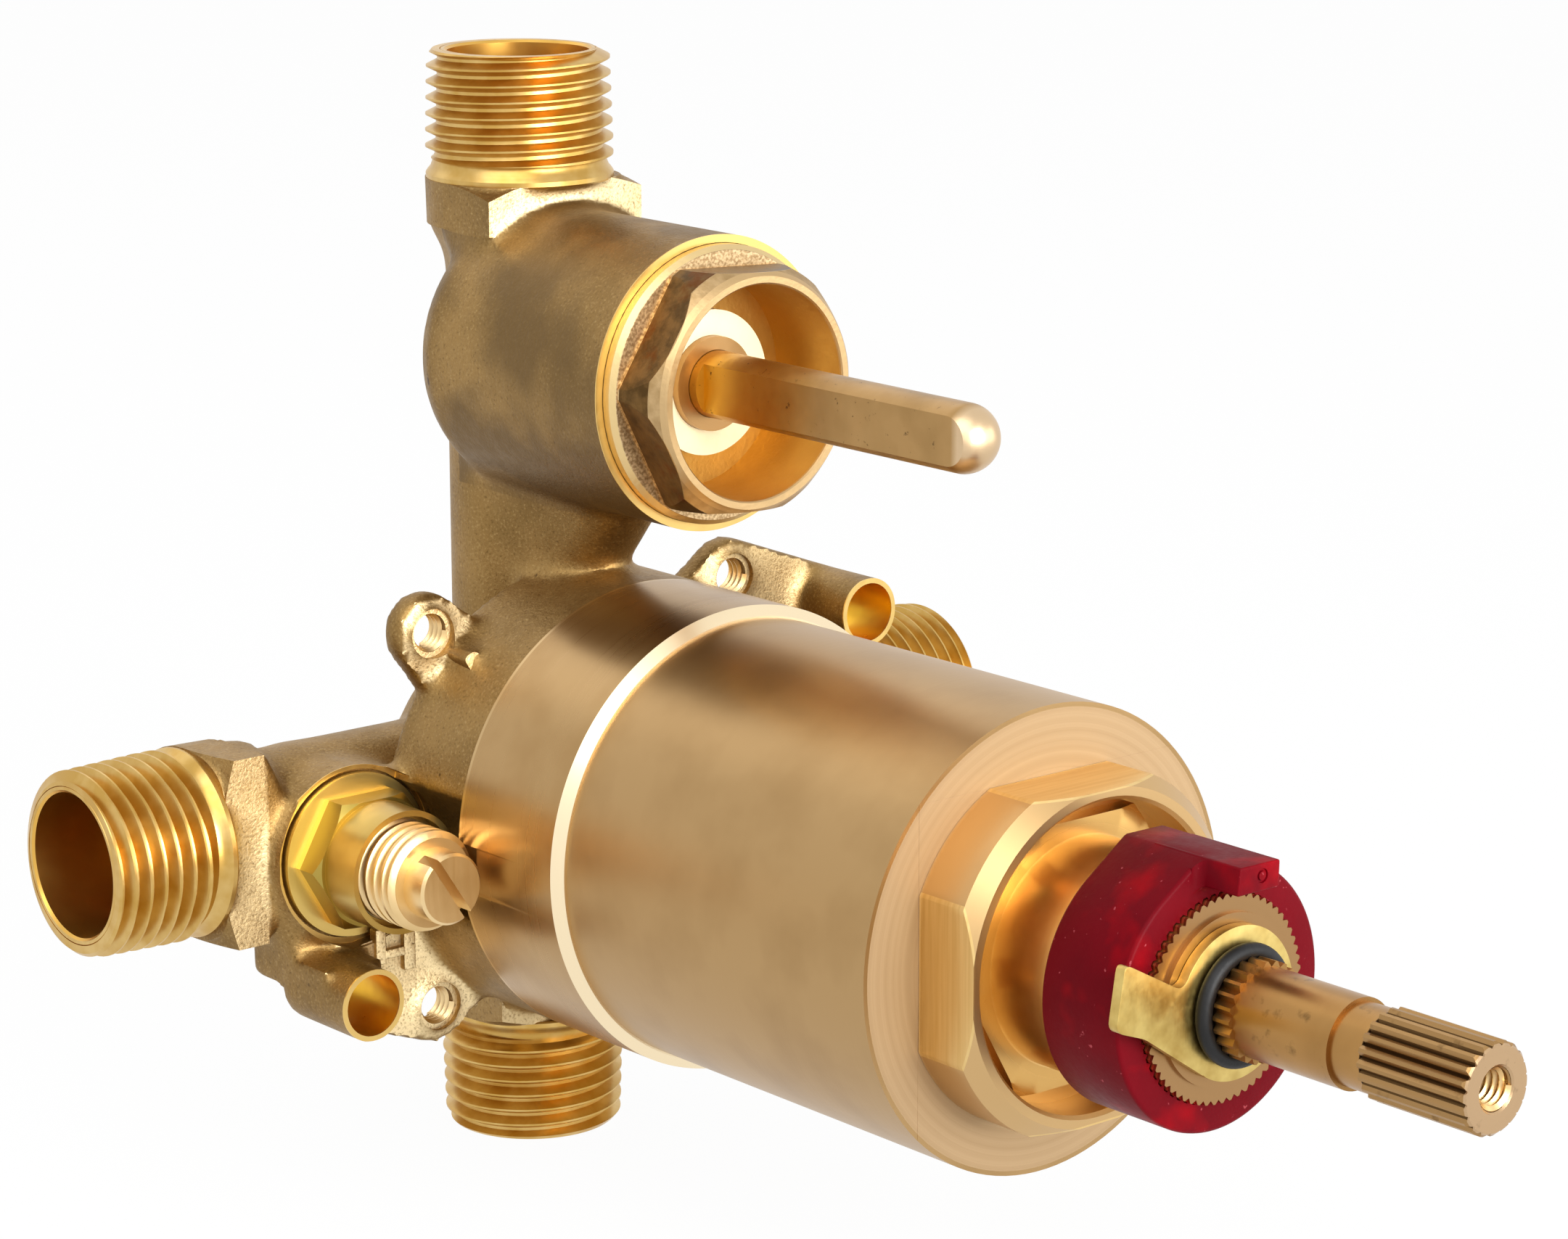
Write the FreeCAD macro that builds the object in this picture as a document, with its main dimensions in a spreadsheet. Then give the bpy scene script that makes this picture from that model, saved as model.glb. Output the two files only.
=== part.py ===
# Thermostatic mixing valve with diverter and two service stops, millimetres.
# The origin is on the main axis, in the plane of the four lug faces: +Z is up, +X is the user's right,
# and -Y points out of the wall along both stems.
import math
import os
import re

import FreeCAD
import Part
import Sketcher

Vector = FreeCAD.Vector
doc = FreeCAD.newDocument("MixingValve")

# Driving dimensions. A "front" is a distance in front of the lug faces and a "rear" one behind them.
SIZES = {
    "pipe_setback": (11.0, "lug faces back to the plane of the four pipes"),
    "pipe_radius": (8.6, "cast pipe"),
    "top_reach": (84.0, "main axis up to the end of the top outlet"),
    "bottom_reach": (42.3, "main axis down to the end of the bottom outlet"),
    "inlet_reach": (61.9, "main axis out to the end of an inlet"),
    "thread_radius": (10.55, "half inch pipe thread, mean crest"),
    "thread_length": (14.4, "pipe end to the wrench block"),
    "thread_chamfer": (1.4, "bevel at a pipe end"),
    "band_length": (2.2, "plain band behind a thread"),
    "band_radius": (10.66, "that band, and the round back of a wrench block"),
    "band_fall": (0.06, "taper of that band"),
    "end_bore": (8.06, "bore at a pipe end"),
    "end_bore_depth": (20.0, "depth of that bore"),
    "passage_radius": (6.0, "cored waterway"),
    "block_half_width": (10.7, "wrench block, half across"),
    "block_half_depth": (8.5, "wrench block, half front to back"),
    "block_length": (5.2, "flat length of a wrench block"),
    "block_taper": (3.6, "fall from a block to its pipe"),
    "block_corner": (14.0, "turned blank of a wrench block"),
    "block_bevel": (1.4, "turned bevel in front of a block's corners"),
    "lug_spacing": (43.3, "between tapped lug holes, across and up"),
    "lug_eye": (4.4, "round end of a lug"),
    "lug_root": (9.4, "half width to which a lug flares at the main axis"),
    "lug_thickness": (3.0, "lugs and plates"),
    "lug_hole": (2.2, "tapped hole in a lug"),
    "nib_width": (2.6, "locating nib beside the upper left lug"),
    "nib_front": (4.6, "nib in front of the lug faces"),
    "rib_width": (4.0, "rib between the drum and the hot stop"),
    "rib_front": (4.0, "that rib in front of the lug faces"),
    "tube_across": (36.0, "main axis across to a screw tube"),
    "tube_up": (16.6, "main axis up or down to a screw tube"),
    "tube_radius": (4.1, "screw tube"),
    "tube_bore": (3.48, "smooth bore of a screw tube"),
    "tube_front": (8.17, "screw tube in front of the lug faces"),
    "tube_web_front": (4.4, "web that carries a screw tube"),
    "tube_web_gap": (0.65, "between that web and the edge of the stop boss"),
    "drum_radius": (26.2, "machined neck of the main chamber"),
    "neck_front": (28.5, "front face of the neck"),
    "neck_bevel": (1.1, "bevel at the front of the neck"),
    "core_radius": (16.0, "cast back of the main chamber"),
    "core_rear": (20.5, "back of the casting"),
    "core_round": (5.0, "rounding of that back"),
    "spigot_bore": (22.05, "threaded bore of the neck"),
    "spigot_depth": (9.0, "bottom of that bore, in front of the lug faces"),
    "barrel_bore": (18.0, "bore for the cartridge barrel"),
    "barrel_floor": (1.0, "bottom of the barrel bore, in front of the lug faces"),
    "chamber_radius": (13.3, "mixing chamber"),
    "chamber_rear": (17.5, "bottom of the mixing chamber"),
    "feed_radius": (2.4, "passage from a stop to the mixing chamber"),
    "feed_rear": (14.4, "axis of that passage"),
    "cross_radius": (1.9, "passages cored in the drum"),
    "cross_across": (16.8, "main axis across to the cold cross passage"),
    "mixed_across": (1.5, "mixed water passage, to the right of the main axis"),
    "mixed_front": (2.3, "mixed water passage in front of the lug faces"),
    "mixed_knee": (30.0, "main axis up to the bend of that passage"),
    "mixed_lean": (39.0, "degrees that it leans to the front above the bend"),
    "mixed_slope_length": (15.4, "leaning length of that passage"),
    "channel_inner": (19.6, "inside of the half ring channel in the drum"),
    "channel_outer": (24.4, "outside of that channel"),
    "channel_front": (0.8, "front of that channel"),
    "channel_length": (2.6, "front to back of that channel"),
    "channel_across": (3.2, "main axis across to the ends of that channel"),
    "channel_up": (21.8, "main axis up or down to those ends"),
    "way_overrun": (0.8, "riser passages beyond those ends"),
    "diverter_up": (50.45, "main axis up to the diverter axis"),
    "boss_radius": (16.3, "diverter boss"),
    "boss_front": (23.54, "front of the diverter boss"),
    "boss_rear": (11.0, "back of the diverter boss"),
    "boss_round": (4.0, "rounding of that back"),
    "boss_recess": (15.4, "turned recess in the boss face"),
    "boss_recess_depth": (1.3, "depth of that recess"),
    "boss_thread": (13.4, "threaded bore of the boss"),
    "boss_thread_rear": (9.0, "bottom of that bore, in front of the lug faces"),
    "disc_bore": (10.4, "seat bore of the discs"),
    "disc_floor": (5.0, "bottom of the disc seat, in front of the lug faces"),
    "port_radius": (2.6, "port below the discs"),
    "port_circle": (6.2, "ports from the diverter axis"),
    "web_low": (22.0, "height where the web leaves the drum"),
    "web_high": (38.0, "height where the web meets the boss"),
    "web_low_front": (1.6, "web in front of the lug faces, below"),
    "web_high_front": (14.2, "web in front of the lug faces, above"),
    "web_nose": (4.6, "rounded front of the web"),
    "stop_across": (31.47, "main axis across to a stop"),
    "stop_down": (2.25, "main axis down to a stop"),
    "stop_radius": (10.1, "stop boss"),
    "stop_setback": (1.65, "lug faces back to the stop boss face"),
    "stop_rear": (19.0, "back of a stop boss"),
    "stop_round": (3.0, "rounding of that back"),
    "stop_recess": (9.6, "turned recess in the stop boss"),
    "stop_recess_depth": (0.7, "depth of that recess"),
    "stop_thread": (6.95, "threaded bore of a stop boss"),
    "stop_chamber": (6.5, "chamber behind that thread"),
    "stop_thread_rear": (7.2, "end of that thread behind the lug faces"),
    "stop_seat": (11.0, "seat face behind the lug faces"),
    "seat_hole": (3.8, "hole through the seat"),
    "seat_hole_rear": (17.2, "bottom of the seat hole"),
    "sleeve_radius": (24.9, "front sleeve"),
    "sleeve_front": (76.9, "shoulder of the sleeve"),
    "sleeve_bore": (19.3, "inside of the sleeve"),
    "thread_clearance": (0.05, "radial clearance of a made-up thread"),
    "collar_radius": (19.4, "collar of the sleeve"),
    "collar_front": (85.05, "front of the collar"),
    "collar_flat": (17.6, "axis to a milled flat"),
    "collar_flat_rear": (77.5, "where a milled flat ends, in front of the lug faces"),
    "collar_bevel": (1.6, "bevel of the collar"),
    "collar_bore": (16.44, "bore of the collar"),
    "collar_lip": (5.4, "length of the collar bore"),
    "flange_radius": (19.0, "flange of the cartridge bonnet"),
    "flange_length": (4.8, "length of that flange"),
    "barrel_radius": (17.7, "cartridge barrel"),
    "barrel_joint": (30.0, "bonnet to cage, in front of the lug faces"),
    "hex_corner": (16.17, "bonnet hexagon, centre to corner"),
    "hex_front": (81.7, "front of that hexagon"),
    "neck_radius": (12.16, "bonnet neck"),
    "ring_rear_front": (90.7, "back of the limit ring, in front of the lug faces"),
    "ring_front": (102.35, "front of the limit ring"),
    "ring_radius": (13.22, "limit ring"),
    "hub_radius": (10.76, "serrated hub, tooth tips"),
    "serration_depth": (0.45, "tooth depth of the hub"),
    "serration_count": (60, "teeth of the hub"),
    "serration_gap": (0.12, "clearance between hub and ring teeth"),
    "hub_step_radius": (8.9, "raised face of the hub"),
    "hub_step": (0.45, "height of that face"),
    "tab_half_width": (3.0, "stop tab of the limit ring"),
    "tab_inner": (12.1, "inside of the stop tab"),
    "tab_outer": (15.0, "outside of the stop tab"),
    "tab_front": (107.0, "front of the stop tab"),
    "washer_gap": (0.05, "running gap under the tab washer"),
    "washer_thickness": (1.2, "tab washer"),
    "washer_radius": (8.7, "tab washer, round part"),
    "ear_reach": (15.8, "axis to the end of the washer ear"),
    "ear_half_width": (3.2, "washer ear"),
    "ear_tilt": (13.0, "degrees that the ear stands above level"),
    "oring_section": (0.85, "section radius of the stem ring"),
    "stem_radius": (4.65, "main stem"),
    "stem_bore_gap": (0.05, "running clearance of a stem"),
    "stem_front": (137.5, "end of the main stem"),
    "stem_bevel": (0.42, "bevel at the stem end"),
    "stem_hole": (2.05, "tapped hole in the stem end"),
    "stem_hole_depth": (12.0, "depth of that hole"),
    "stem_countersink": (0.4, "mouth of that hole"),
    "end_spline_length": (13.3, "spline at the stem end"),
    "end_spline_count": (20, "teeth of that spline"),
    "end_spline_depth": (0.55, "tooth depth of that spline"),
    "stem_neck": (4.25, "turned neck behind that spline"),
    "stem_neck_length": (3.9, "length of that neck"),
    "drive_spline_radius": (5.2, "spline that carries the tab washer"),
    "drive_spline_front": (108.0, "front of that spline"),
    "drive_spline_count": (24, "teeth of that spline"),
    "spline_depth": (0.55, "tooth depth of the spline that carries the tab washer"),
    "oring_front": (104.95, "stem ring in front of the lug faces"),
    "thrust_radius": (7.5, "thrust collar of the stem"),
    "thrust_length": (2.0, "thrust collar length"),
    "cavity_front": (80.0, "front of the cavity in the bonnet"),
    "cavity_radius": (8.0, "cavity in the bonnet"),
    "thrust_washer_thickness": (0.5, "plastic thrust washer"),
    "drive_thread": (4.0, "drive thread of the stem"),
    "drive_thread_front": (60.0, "inner end of the main stem"),
    "seal_section": (0.58, "section radius of the stem seal"),
    "seal_front": (86.0, "stem seal"),
    "slide_gap": (0.3, "clearance round the sliding pieces"),
    "key_half_width": (1.5, "key of the drive nut"),
    "key_height": (1.6, "height of that key"),
    "nut_front": (74.0, "front of the drive nut"),
    "nut_floor": (44.0, "bottom of the nut's cup"),
    "nut_rear": (10.5, "rim of the nut's cup"),
    "cup_bore": (6.3, "cup of the drive nut"),
    "spring_wire": (0.45, "wire radius of both springs"),
    "overload_coil": (5.3, "mean radius of the overload spring"),
    "pin_seat_front": (15.5, "front of the pin seat"),
    "pin_seat_rear": (13.0, "back of the pin seat"),
    "clip_thickness": (0.8, "snap ring behind the pin seat"),
    "pin_radius": (1.1, "plunger pin"),
    "pin_rear": (5.0, "inner end of the plunger pin"),
    "guide_radius": (2.2, "guide of the thermal element"),
    "guide_front": (8.0, "front of that guide"),
    "element_flange": (6.8, "flange of the thermal element"),
    "element_flange_front": (3.0, "front of that flange"),
    "element_radius": (4.0, "bulb of the thermal element"),
    "element_rear": (13.6, "tip of the bulb behind the lug faces"),
    "shuttle_front": (6.2, "front rim of the shuttle behind the lug faces"),
    "shuttle_length": (6.8, "rim length of the shuttle"),
    "shuttle_post": (7.2, "posts that carry the shuttle"),
    "spigot_joint": (14.5, "bore of the bonnet where the cage plugs in"),
    "spigot_joint_length": (6.0, "depth of that bore"),
    "collector_radius": (15.0, "bottom of the mixed water groove of the cage"),
    "collector_front": (6.0, "front of that groove"),
    "collector_length": (4.0, "length of that groove"),
    "annulus_radius": (12.0, "bottom of the hot and cold grooves of the cage"),
    "shuttle_wall": (0.9, "rim thickness of the shuttle"),
    "cage_bore": (11.0, "inside of the cage"),
    "cage_radius": (13.0, "rear of the cage"),
    "cage_floor": (15.8, "inside bottom of the cage"),
    "cage_rear": (17.2, "outside bottom of the cage"),
    "window_length": (2.8, "inlet windows of the cage"),
    "hot_window": (13.6, "middle of the hot windows"),
    "cold_window": (6.0, "middle of the cold windows"),
    "big_oring": (0.9, "section radius of the large seal rings"),
    "small_oring": (0.6, "section radius of the small seal rings"),
    "oring_room": (0.2, "length of a seal groove beyond its ring"),
    "sleeve_seal": (13.5, "sleeve ring in front of the lug faces"),
    "joint_seal": (33.0, "ring between bonnet and cage, in front of the lug faces"),
    "mixed_seal": (7.75, "mixed water ring in front of the lug faces"),
    "cold_seal": (1.05, "cold water ring behind the lug faces"),
    "hot_seal": (9.95, "hot water ring behind the lug faces"),
    "return_coil": (8.4, "mean radius of the return spring"),
    "diverter_flange": (15.1, "flange of the diverter bonnet"),
    "diverter_flange_front": (25.2, "front of that flange"),
    "diverter_hex": (15.0, "diverter hexagon, centre to corner"),
    "diverter_hex_front": (30.7, "front of that hexagon"),
    "diverter_hex_bevel": (0.6, "bevel of that hexagon"),
    "diverter_hex_turn": (3.0, "degrees that this hexagon is turned"),
    "rim_radius": (12.86, "rim of the diverter bonnet"),
    "rim_front": (31.2, "front of that rim"),
    "rim_wall": (1.05, "wall of that rim"),
    "cup_bore_radius": (11.8, "cup of the diverter bonnet"),
    "cup_floor": (20.0, "floor of the bonnet cup"),
    "cup_floor_thickness": (3.0, "thickness of that floor"),
    "bonnet_rear": (14.0, "inner end of the diverter bonnet"),
    "disc_cavity": (11.2, "cavity round the discs"),
    "retainer_radius": (8.0, "plastic retainer disc"),
    "retainer_thickness": (2.8, "thickness of that disc"),
    "bush_radius": (5.2, "brass bush"),
    "bush_front": (23.8, "front of the bush"),
    "bar_radius": (3.7, "diverter stem"),
    "bar_flat": (2.6, "axis to a flat of the diverter stem"),
    "bar_flat_rear": (25.0, "where the flats start"),
    "bar_front": (67.6, "tip of the diverter stem"),
    "bar_collar": (6.8, "collar of the diverter stem"),
    "bar_collar_length": (2.0, "length of that collar"),
    "disc_radius": (10.1, "ceramic discs"),
    "disc_thickness": (3.4, "one ceramic disc"),
    "disc_gap": (0.05, "gap between moving faces"),
    "dog_half_width": (2.0, "drive dog of the diverter stem"),
    "dog_length": (1.6, "length of that dog"),
    "stop_flange": (9.3, "flange of a stop bonnet"),
    "stop_flange_thickness": (1.5, "thickness of that flange"),
    "stop_hex": (8.2, "stop hexagon, centre to corner"),
    "stop_hex_length": (3.8, "length of that hexagon"),
    "stop_collar": (6.95, "round collar of a stop bonnet"),
    "stop_collar_front": (8.33, "front of that collar"),
    "stop_collar_bore": (6.3, "mouth of that collar"),
    "stop_collar_mouth": (1.8, "depth of that mouth"),
    "spindle_radius": (5.75, "threaded part of a stop spindle"),
    "spindle_thread_front": (13.5, "front of that thread"),
    "spindle_thread_rear": (3.6, "back of that thread, behind the lug faces"),
    "head_radius": (4.0, "slotted head of a spindle"),
    "head_front": (16.94, "front of that head"),
    "slot_half_width": (0.55, "screwdriver slot"),
    "slot_depth": (2.6, "depth of that slot"),
    "slot_turn": (57.0, "degrees that the slot falls to the right"),
    "nose_radius": (1.5, "nose that carries the stop washer"),
    "stop_washer_radius": (5.4, "rubber stop washer"),
    "stop_washer_front": (5.0, "stop washer behind the lug faces"),
    "stop_washer_thickness": (2.4, "stop washer"),
}

sheet = doc.addObject("Spreadsheet::Sheet", "Sizes")
for row, (alias, (value, note)) in enumerate(SIZES.items(), start=1):
    sheet.set(f"A{row}", note)
    sheet.set(f"B{row}", str(value))
    sheet.setAlias(f"B{row}", alias)
doc.recompute()


def bound(text):
    """An expression on the sheet, from one written with the bare aliases."""
    return re.sub(r"[a-z]\w*", lambda word: f"Sizes.{word[0]}" if word[0] in SIZES else word[0], text)


def size(alias):
    return float(sheet.get(alias))


def place(item, x="0", y="0", z="0", turn=None):
    """Puts an object at three expressions, turned by a fixed or bound rotation."""
    if turn is not None:
        item.Placement = FreeCAD.Placement(Vector(0, 0, 0), turn)
    for name, text in (("x", x), ("y", y), ("z", z)):
        item.setExpression(f"Placement.Base.{name}", bound(text))
    return item


# Directions of a primitive's own Z axis, and of a turned body's own Y axis
BACKWARD = FreeCAD.Rotation(Vector(1, 0, 0), -90)
RIGHTWARD = FreeCAD.Rotation(Vector(0, 1, 0), 90)
UPRIGHT = FreeCAD.Rotation()
PIPE_TURNS = {
    "top": FreeCAD.Rotation(Vector(1, 0, 0), Vector(0, 0, 1), Vector(0, -1, 0), "ZXY"),
    "bottom": FreeCAD.Rotation(Vector(-1, 0, 0), Vector(0, 0, -1), Vector(0, -1, 0), "ZXY"),
    "left": FreeCAD.Rotation(Vector(0, 0, 1), Vector(-1, 0, 0), Vector(0, -1, 0), "ZXY"),
    "right": FreeCAD.Rotation(Vector(0, 0, -1), Vector(1, 0, 0), Vector(0, -1, 0), "ZXY"),
}


def profile(body, name, points, role="XY_Plane"):
    """A closed outline of straight lines whose corners are bound to expressions."""
    plane = next(item for item in body.Origin.OriginFeatures if item.Role == role)
    sketch = body.newObject("Sketcher::SketchObject", name)
    sketch.AttachmentSupport = [(plane, "")]
    sketch.MapMode = "FlatFace"
    count = len(points)
    start = [Vector(50 + 10 * math.cos(2 * math.pi * i / count), 10 * math.sin(2 * math.pi * i / count), 0)
             for i in range(count)]
    for i in range(count):
        sketch.addGeometry(Part.LineSegment(start[i], start[(i + 1) % count]), False)
    for i in range(count):
        sketch.addConstraint(Sketcher.Constraint("Coincident", i, 2, (i + 1) % count, 1))
    for i, (across, along) in enumerate(points):
        for kind, text, value in (("DistanceX", across, start[i].x), ("DistanceY", along, start[i].y)):
            index = sketch.addConstraint(Sketcher.Constraint(kind, -1, 1, i, 1, value))
            sketch.setExpression(f"Constraints[{index}]", bound(text))
    return sketch


def turned(name, points, x="0", y="0", z="0", turn=None):
    """A body turned about its own Y axis from corners given as (radius, station)."""
    body = doc.addObject("PartDesign::Body", name)
    sketch = profile(body, f"{name}_profile", points)
    feature = body.newObject("PartDesign::Revolution", f"{name}_turning")
    feature.Profile = sketch
    feature.ReferenceAxis = (sketch, ["V_Axis"])
    feature.Angle = 360
    return place(body, x, y, z, turn)


def padded(name, points, front, thickness):
    """A plate parallel to the wall: its outline in (across, up), its front face at a station."""
    body = doc.addObject("PartDesign::Body", name)
    sketch = profile(body, f"{name}_outline", points, "XZ_Plane")
    feature = body.newObject("PartDesign::Pad", f"{name}_pad")
    feature.Profile = sketch
    feature.setExpression("Length", bound(thickness))
    feature.Reversed = True
    return place(body, y=front)


def cylinder(name, radius, length, turn=BACKWARD, x="0", y="0", z="0"):
    item = doc.addObject("Part::Cylinder", name)
    item.setExpression("Radius", bound(radius))
    item.setExpression("Height", bound(length))
    return place(item, x, y, z, turn)


def box(name, width, depth, height, x="0", y="0", z="0"):
    item = doc.addObject("Part::Box", name)
    for side, text in (("Length", width), ("Width", depth), ("Height", height)):
        item.setExpression(side, bound(text))
    return place(item, x, y, z)


def hexagon(name, corner, length, x="0", y="0", z="0", degrees=0.0):
    """A hexagonal prism that runs back from its front face."""
    item = doc.addObject("Part::Prism", name)
    item.Polygon = 6
    item.setExpression("Circumradius", bound(corner))
    item.setExpression("Height", bound(length))
    return place(item, x, y, z, BACKWARD * FreeCAD.Rotation(Vector(0, 0, 1), degrees))


def ring(name, radius, section, x="0", y="0", z="0"):
    """A round rubber ring about an axis along Y."""
    item = doc.addObject("Part::Torus", name)
    item.setExpression("Radius1", bound(radius))
    item.setExpression("Radius2", bound(section))
    return place(item, x, y, z, BACKWARD)


def seal(name, radius, section, x="0", y="0", z="0"):
    """A seal ring inside the valve, about an axis along Y, with eight flats round its section."""
    corners = [(math.cos(math.radians(45 * i)), math.sin(math.radians(45 * i))) for i in range(8)]
    return turned(name, [(f"{radius} + {out:.4f} * ({section})", f"{along:.4f} * ({section})")
                         for out, along in corners], x, y, z)


def fuse(name, items):
    result = doc.addObject("Part::MultiFuse", name)
    result.Shapes = items
    result.Refine = True
    return result


def cut(name, base, tools):
    """Takes one tool or several away from a base."""
    result = doc.addObject("Part::Cut", name)
    result.Base = base
    result.Tool = tools[0] if len(tools) == 1 else fuse(f"{name}_tools", tools)
    return result


def common(name, first, second):
    result = doc.addObject("Part::Common", name)
    result.Base = first
    result.Tool = second
    return result


def toothed(name, count, tip, depth, front, rear, flat=0.25):
    """A straight spline about the main axis, with V grooves between narrow tooth tips."""
    teeth = int(size(count))
    step = 2 * math.pi / teeth
    root = tip - depth
    corners = []
    for i in range(teeth):
        middle = i * step
        for radius, share in ((tip, -flat / 2), (tip, flat / 2), (root, 0.5)):
            angle = middle + share * step
            corners.append(Vector(radius * math.cos(angle), front, radius * math.sin(angle)))
    face = Part.Face(Part.makePolygon(corners + corners[:1]))
    item = doc.addObject("Part::Feature", name)
    item.Shape = face.extrude(Vector(0, rear - front, 0))
    return item


def spring(name, coil, front, rear, turns):
    """A wire spring with open ends and a six-sided section, centred on the main axis."""
    wire = size("spring_wire")
    length = rear - front - 2 * wire
    path = Part.makeHelix(length / turns, length, coil)
    corners = [Vector(coil + wire * math.cos(math.radians(60 * i)), 0, wire * math.sin(math.radians(60 * i)))
               for i in range(7)]
    section = Part.makePolygon(corners)
    shape = Part.Wire(path.Edges).makePipeShell([section], True, True)
    item = doc.addObject("Part::Feature", name)
    item.Shape = shape
    item.Placement = FreeCAD.Placement(Vector(0, front + wire, 0), BACKWARD)
    return item


nodes = {}


def node(name, item):
    """Names a finished sub-part."""
    item.Label = name
    nodes[name] = item
    return item


# Casting: the drum of the main chamber with its cored back
drum = turned("drum", [
    ("0", "core_rear"),
    ("core_radius - core_round", "core_rear"),
    ("core_radius - 0.3 * core_round", "core_rear - 0.3 * core_round"),
    ("core_radius", "core_rear - core_round"),
    ("core_radius", "lug_thickness"),
    ("drum_radius", "lug_thickness"),
    ("drum_radius", "-(neck_front - neck_bevel)"),
    ("drum_radius - neck_bevel", "-neck_front"),
    ("0", "-neck_front"),
])

# The four lugs stand on the drum at the corners of a square
lugs = doc.addObject("PartDesign::Body", "lugs")
lug_arm = lugs.newObject("PartDesign::Pad", "lug_arm")
lug_arm.Profile = profile(lugs, "lug_arm_outline", [
    ("0", "-lug_root"),
    ("lug_spacing / sqrt(2)", "-lug_eye"),
    ("lug_spacing / sqrt(2)", "lug_eye"),
    ("0", "lug_root"),
], "XZ_Plane")
lug_arm.setExpression("Length", "Sizes.lug_thickness")
lug_arm.Reversed = True
lug_turn = lugs.newObject("PartDesign::PolarPattern", "lug_turn")
lug_turn.Originals = [lug_arm]
lug_turn.Axis = (next(a for a in lugs.Origin.OriginFeatures if a.Role == "Y_Axis"), [""])
lug_turn.Angle = 360
lug_turn.Occurrences = 4
lugs.Tip = lug_turn
place(lugs, turn=FreeCAD.Rotation(Vector(0, 1, 0), 45))

CORNERS = [(-1, 1), (1, 1), (-1, -1), (1, -1)]
lug_eyes = [
    cylinder(f"lug_eye_{i}", "lug_eye", "lug_thickness",
             x=f"{across} * lug_spacing / 2", z=f"{up} * lug_spacing / 2")
    for i, (across, up) in enumerate(CORNERS)
]
lug_holes = [
    cylinder(f"lug_bore_{i}", "lug_hole", "lug_thickness + 12", y="-6",
             x=f"{across} * lug_spacing / 2", z=f"{up} * lug_spacing / 2")
    for i, (across, up) in enumerate(CORNERS)
]

# Screw tubes on plates at two opposite corners, lower left and upper right
SPAN = "sqrt((tube_across - lug_spacing / 2)^2 + (lug_spacing / 2 - tube_up)^2)"
LEAN_ACROSS = f"(lug_spacing / 2 - tube_up) / {SPAN}"
LEAN_UP = f"(tube_across - lug_spacing / 2) / {SPAN}"
tube_forms = []
tube_bores = []
for side, corner in ((-1, "low"), (1, "high")):
    tube_place = {"x": f"{side} * tube_across", "z": f"{side} * tube_up"}
    tube_forms.append(cylinder(f"tube_{corner}", "tube_radius", "tube_front + lug_thickness",
                               y="-tube_front", **tube_place))
    tube_bores.append(cylinder(f"tube_bore_{corner}", "tube_bore", "tube_front + lug_thickness + 2",
                               y="-tube_front - 1", **tube_place))
    tube_forms.append(box(
        f"tube_web_{corner}", "2 * tube_radius - 0.4", "tube_web_front + lug_thickness",
        "tube_up - stop_radius - stop_down - tube_web_gap",
        x=f"{side} * tube_across - tube_radius + 0.2", y="-tube_web_front",
        z="-tube_up" if side < 0 else "stop_radius + stop_down + tube_web_gap"))
    tube_forms.append(box(
        f"tube_root_{corner}", "2 * tube_radius - 0.4", "lug_thickness + pipe_setback - stop_setback - 4",
        "tube_up - 2",
        x=f"{side} * tube_across - tube_radius + 0.2", y="stop_setback",
        z="-tube_up" if side < 0 else "2"))
    outline = [
        (f"-tube_across - tube_radius * {LEAN_ACROSS}", f"-tube_up - tube_radius * {LEAN_UP}"),
        (f"-lug_spacing / 2 - lug_eye * {LEAN_ACROSS}", f"-lug_spacing / 2 - lug_eye * {LEAN_UP}"),
        ("-lug_spacing / 2", "-lug_spacing / 2"),
        ("-0.5 * drum_radius", "-0.6 * drum_radius"),
        ("-0.85 * drum_radius", "-0.42 * drum_radius"),
        ("-tube_across", "-0.5 * drum_radius"),
    ]
    plate = padded(f"tube_plate_{corner}", outline, "0", "lug_thickness")
    if side > 0:
        plate.Placement = FreeCAD.Placement(Vector(0, 0, 0), FreeCAD.Rotation(Vector(0, 1, 0), 180))
    tube_forms.append(plate)

# Small cast details on the drum: a locating nib by the upper left lug and a rib beside the hot stop
nib = box("nib", "nib_width", "nib_front + lug_thickness", "nib_width",
          x="-0.74 * drum_radius", y="-nib_front", z="0.66 * drum_radius")
rib = box("rib", "rib_width", "2 * rib_front", "rib_width + 1", x="-drum_radius - 0.8 * rib_width", y="-rib_front")

# Four pipe ends, each a threaded stub on a wrench block; the own Y axis points out of the pipe
REACH = {
    "top": ("0", "top_reach"),
    "bottom": ("0", "-bottom_reach"),
    "left": ("-inlet_reach", "0"),
    "right": ("inlet_reach", "0"),
}
pipe_ends = []
end_bores = []


def milled(name, half_width, low, high, spot):
    """The room that the flats of a wrench block leave, between two heights of the block's own Z axis."""
    room = doc.addObject("Part::Box", f"{name}_room")
    for side, text in (("Length", f"2 * {half_width}"), ("Height", f"{high} - ({low})"),
                       ("Width", "block_length + block_taper")):
        room.setExpression(side, bound(text))
    place(room, f"-{half_width}", "-thread_length - block_length - block_taper", low)
    holder = doc.addObject("Part::Compound", name)
    holder.Links = [room]
    return place(holder, **spot)


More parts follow.
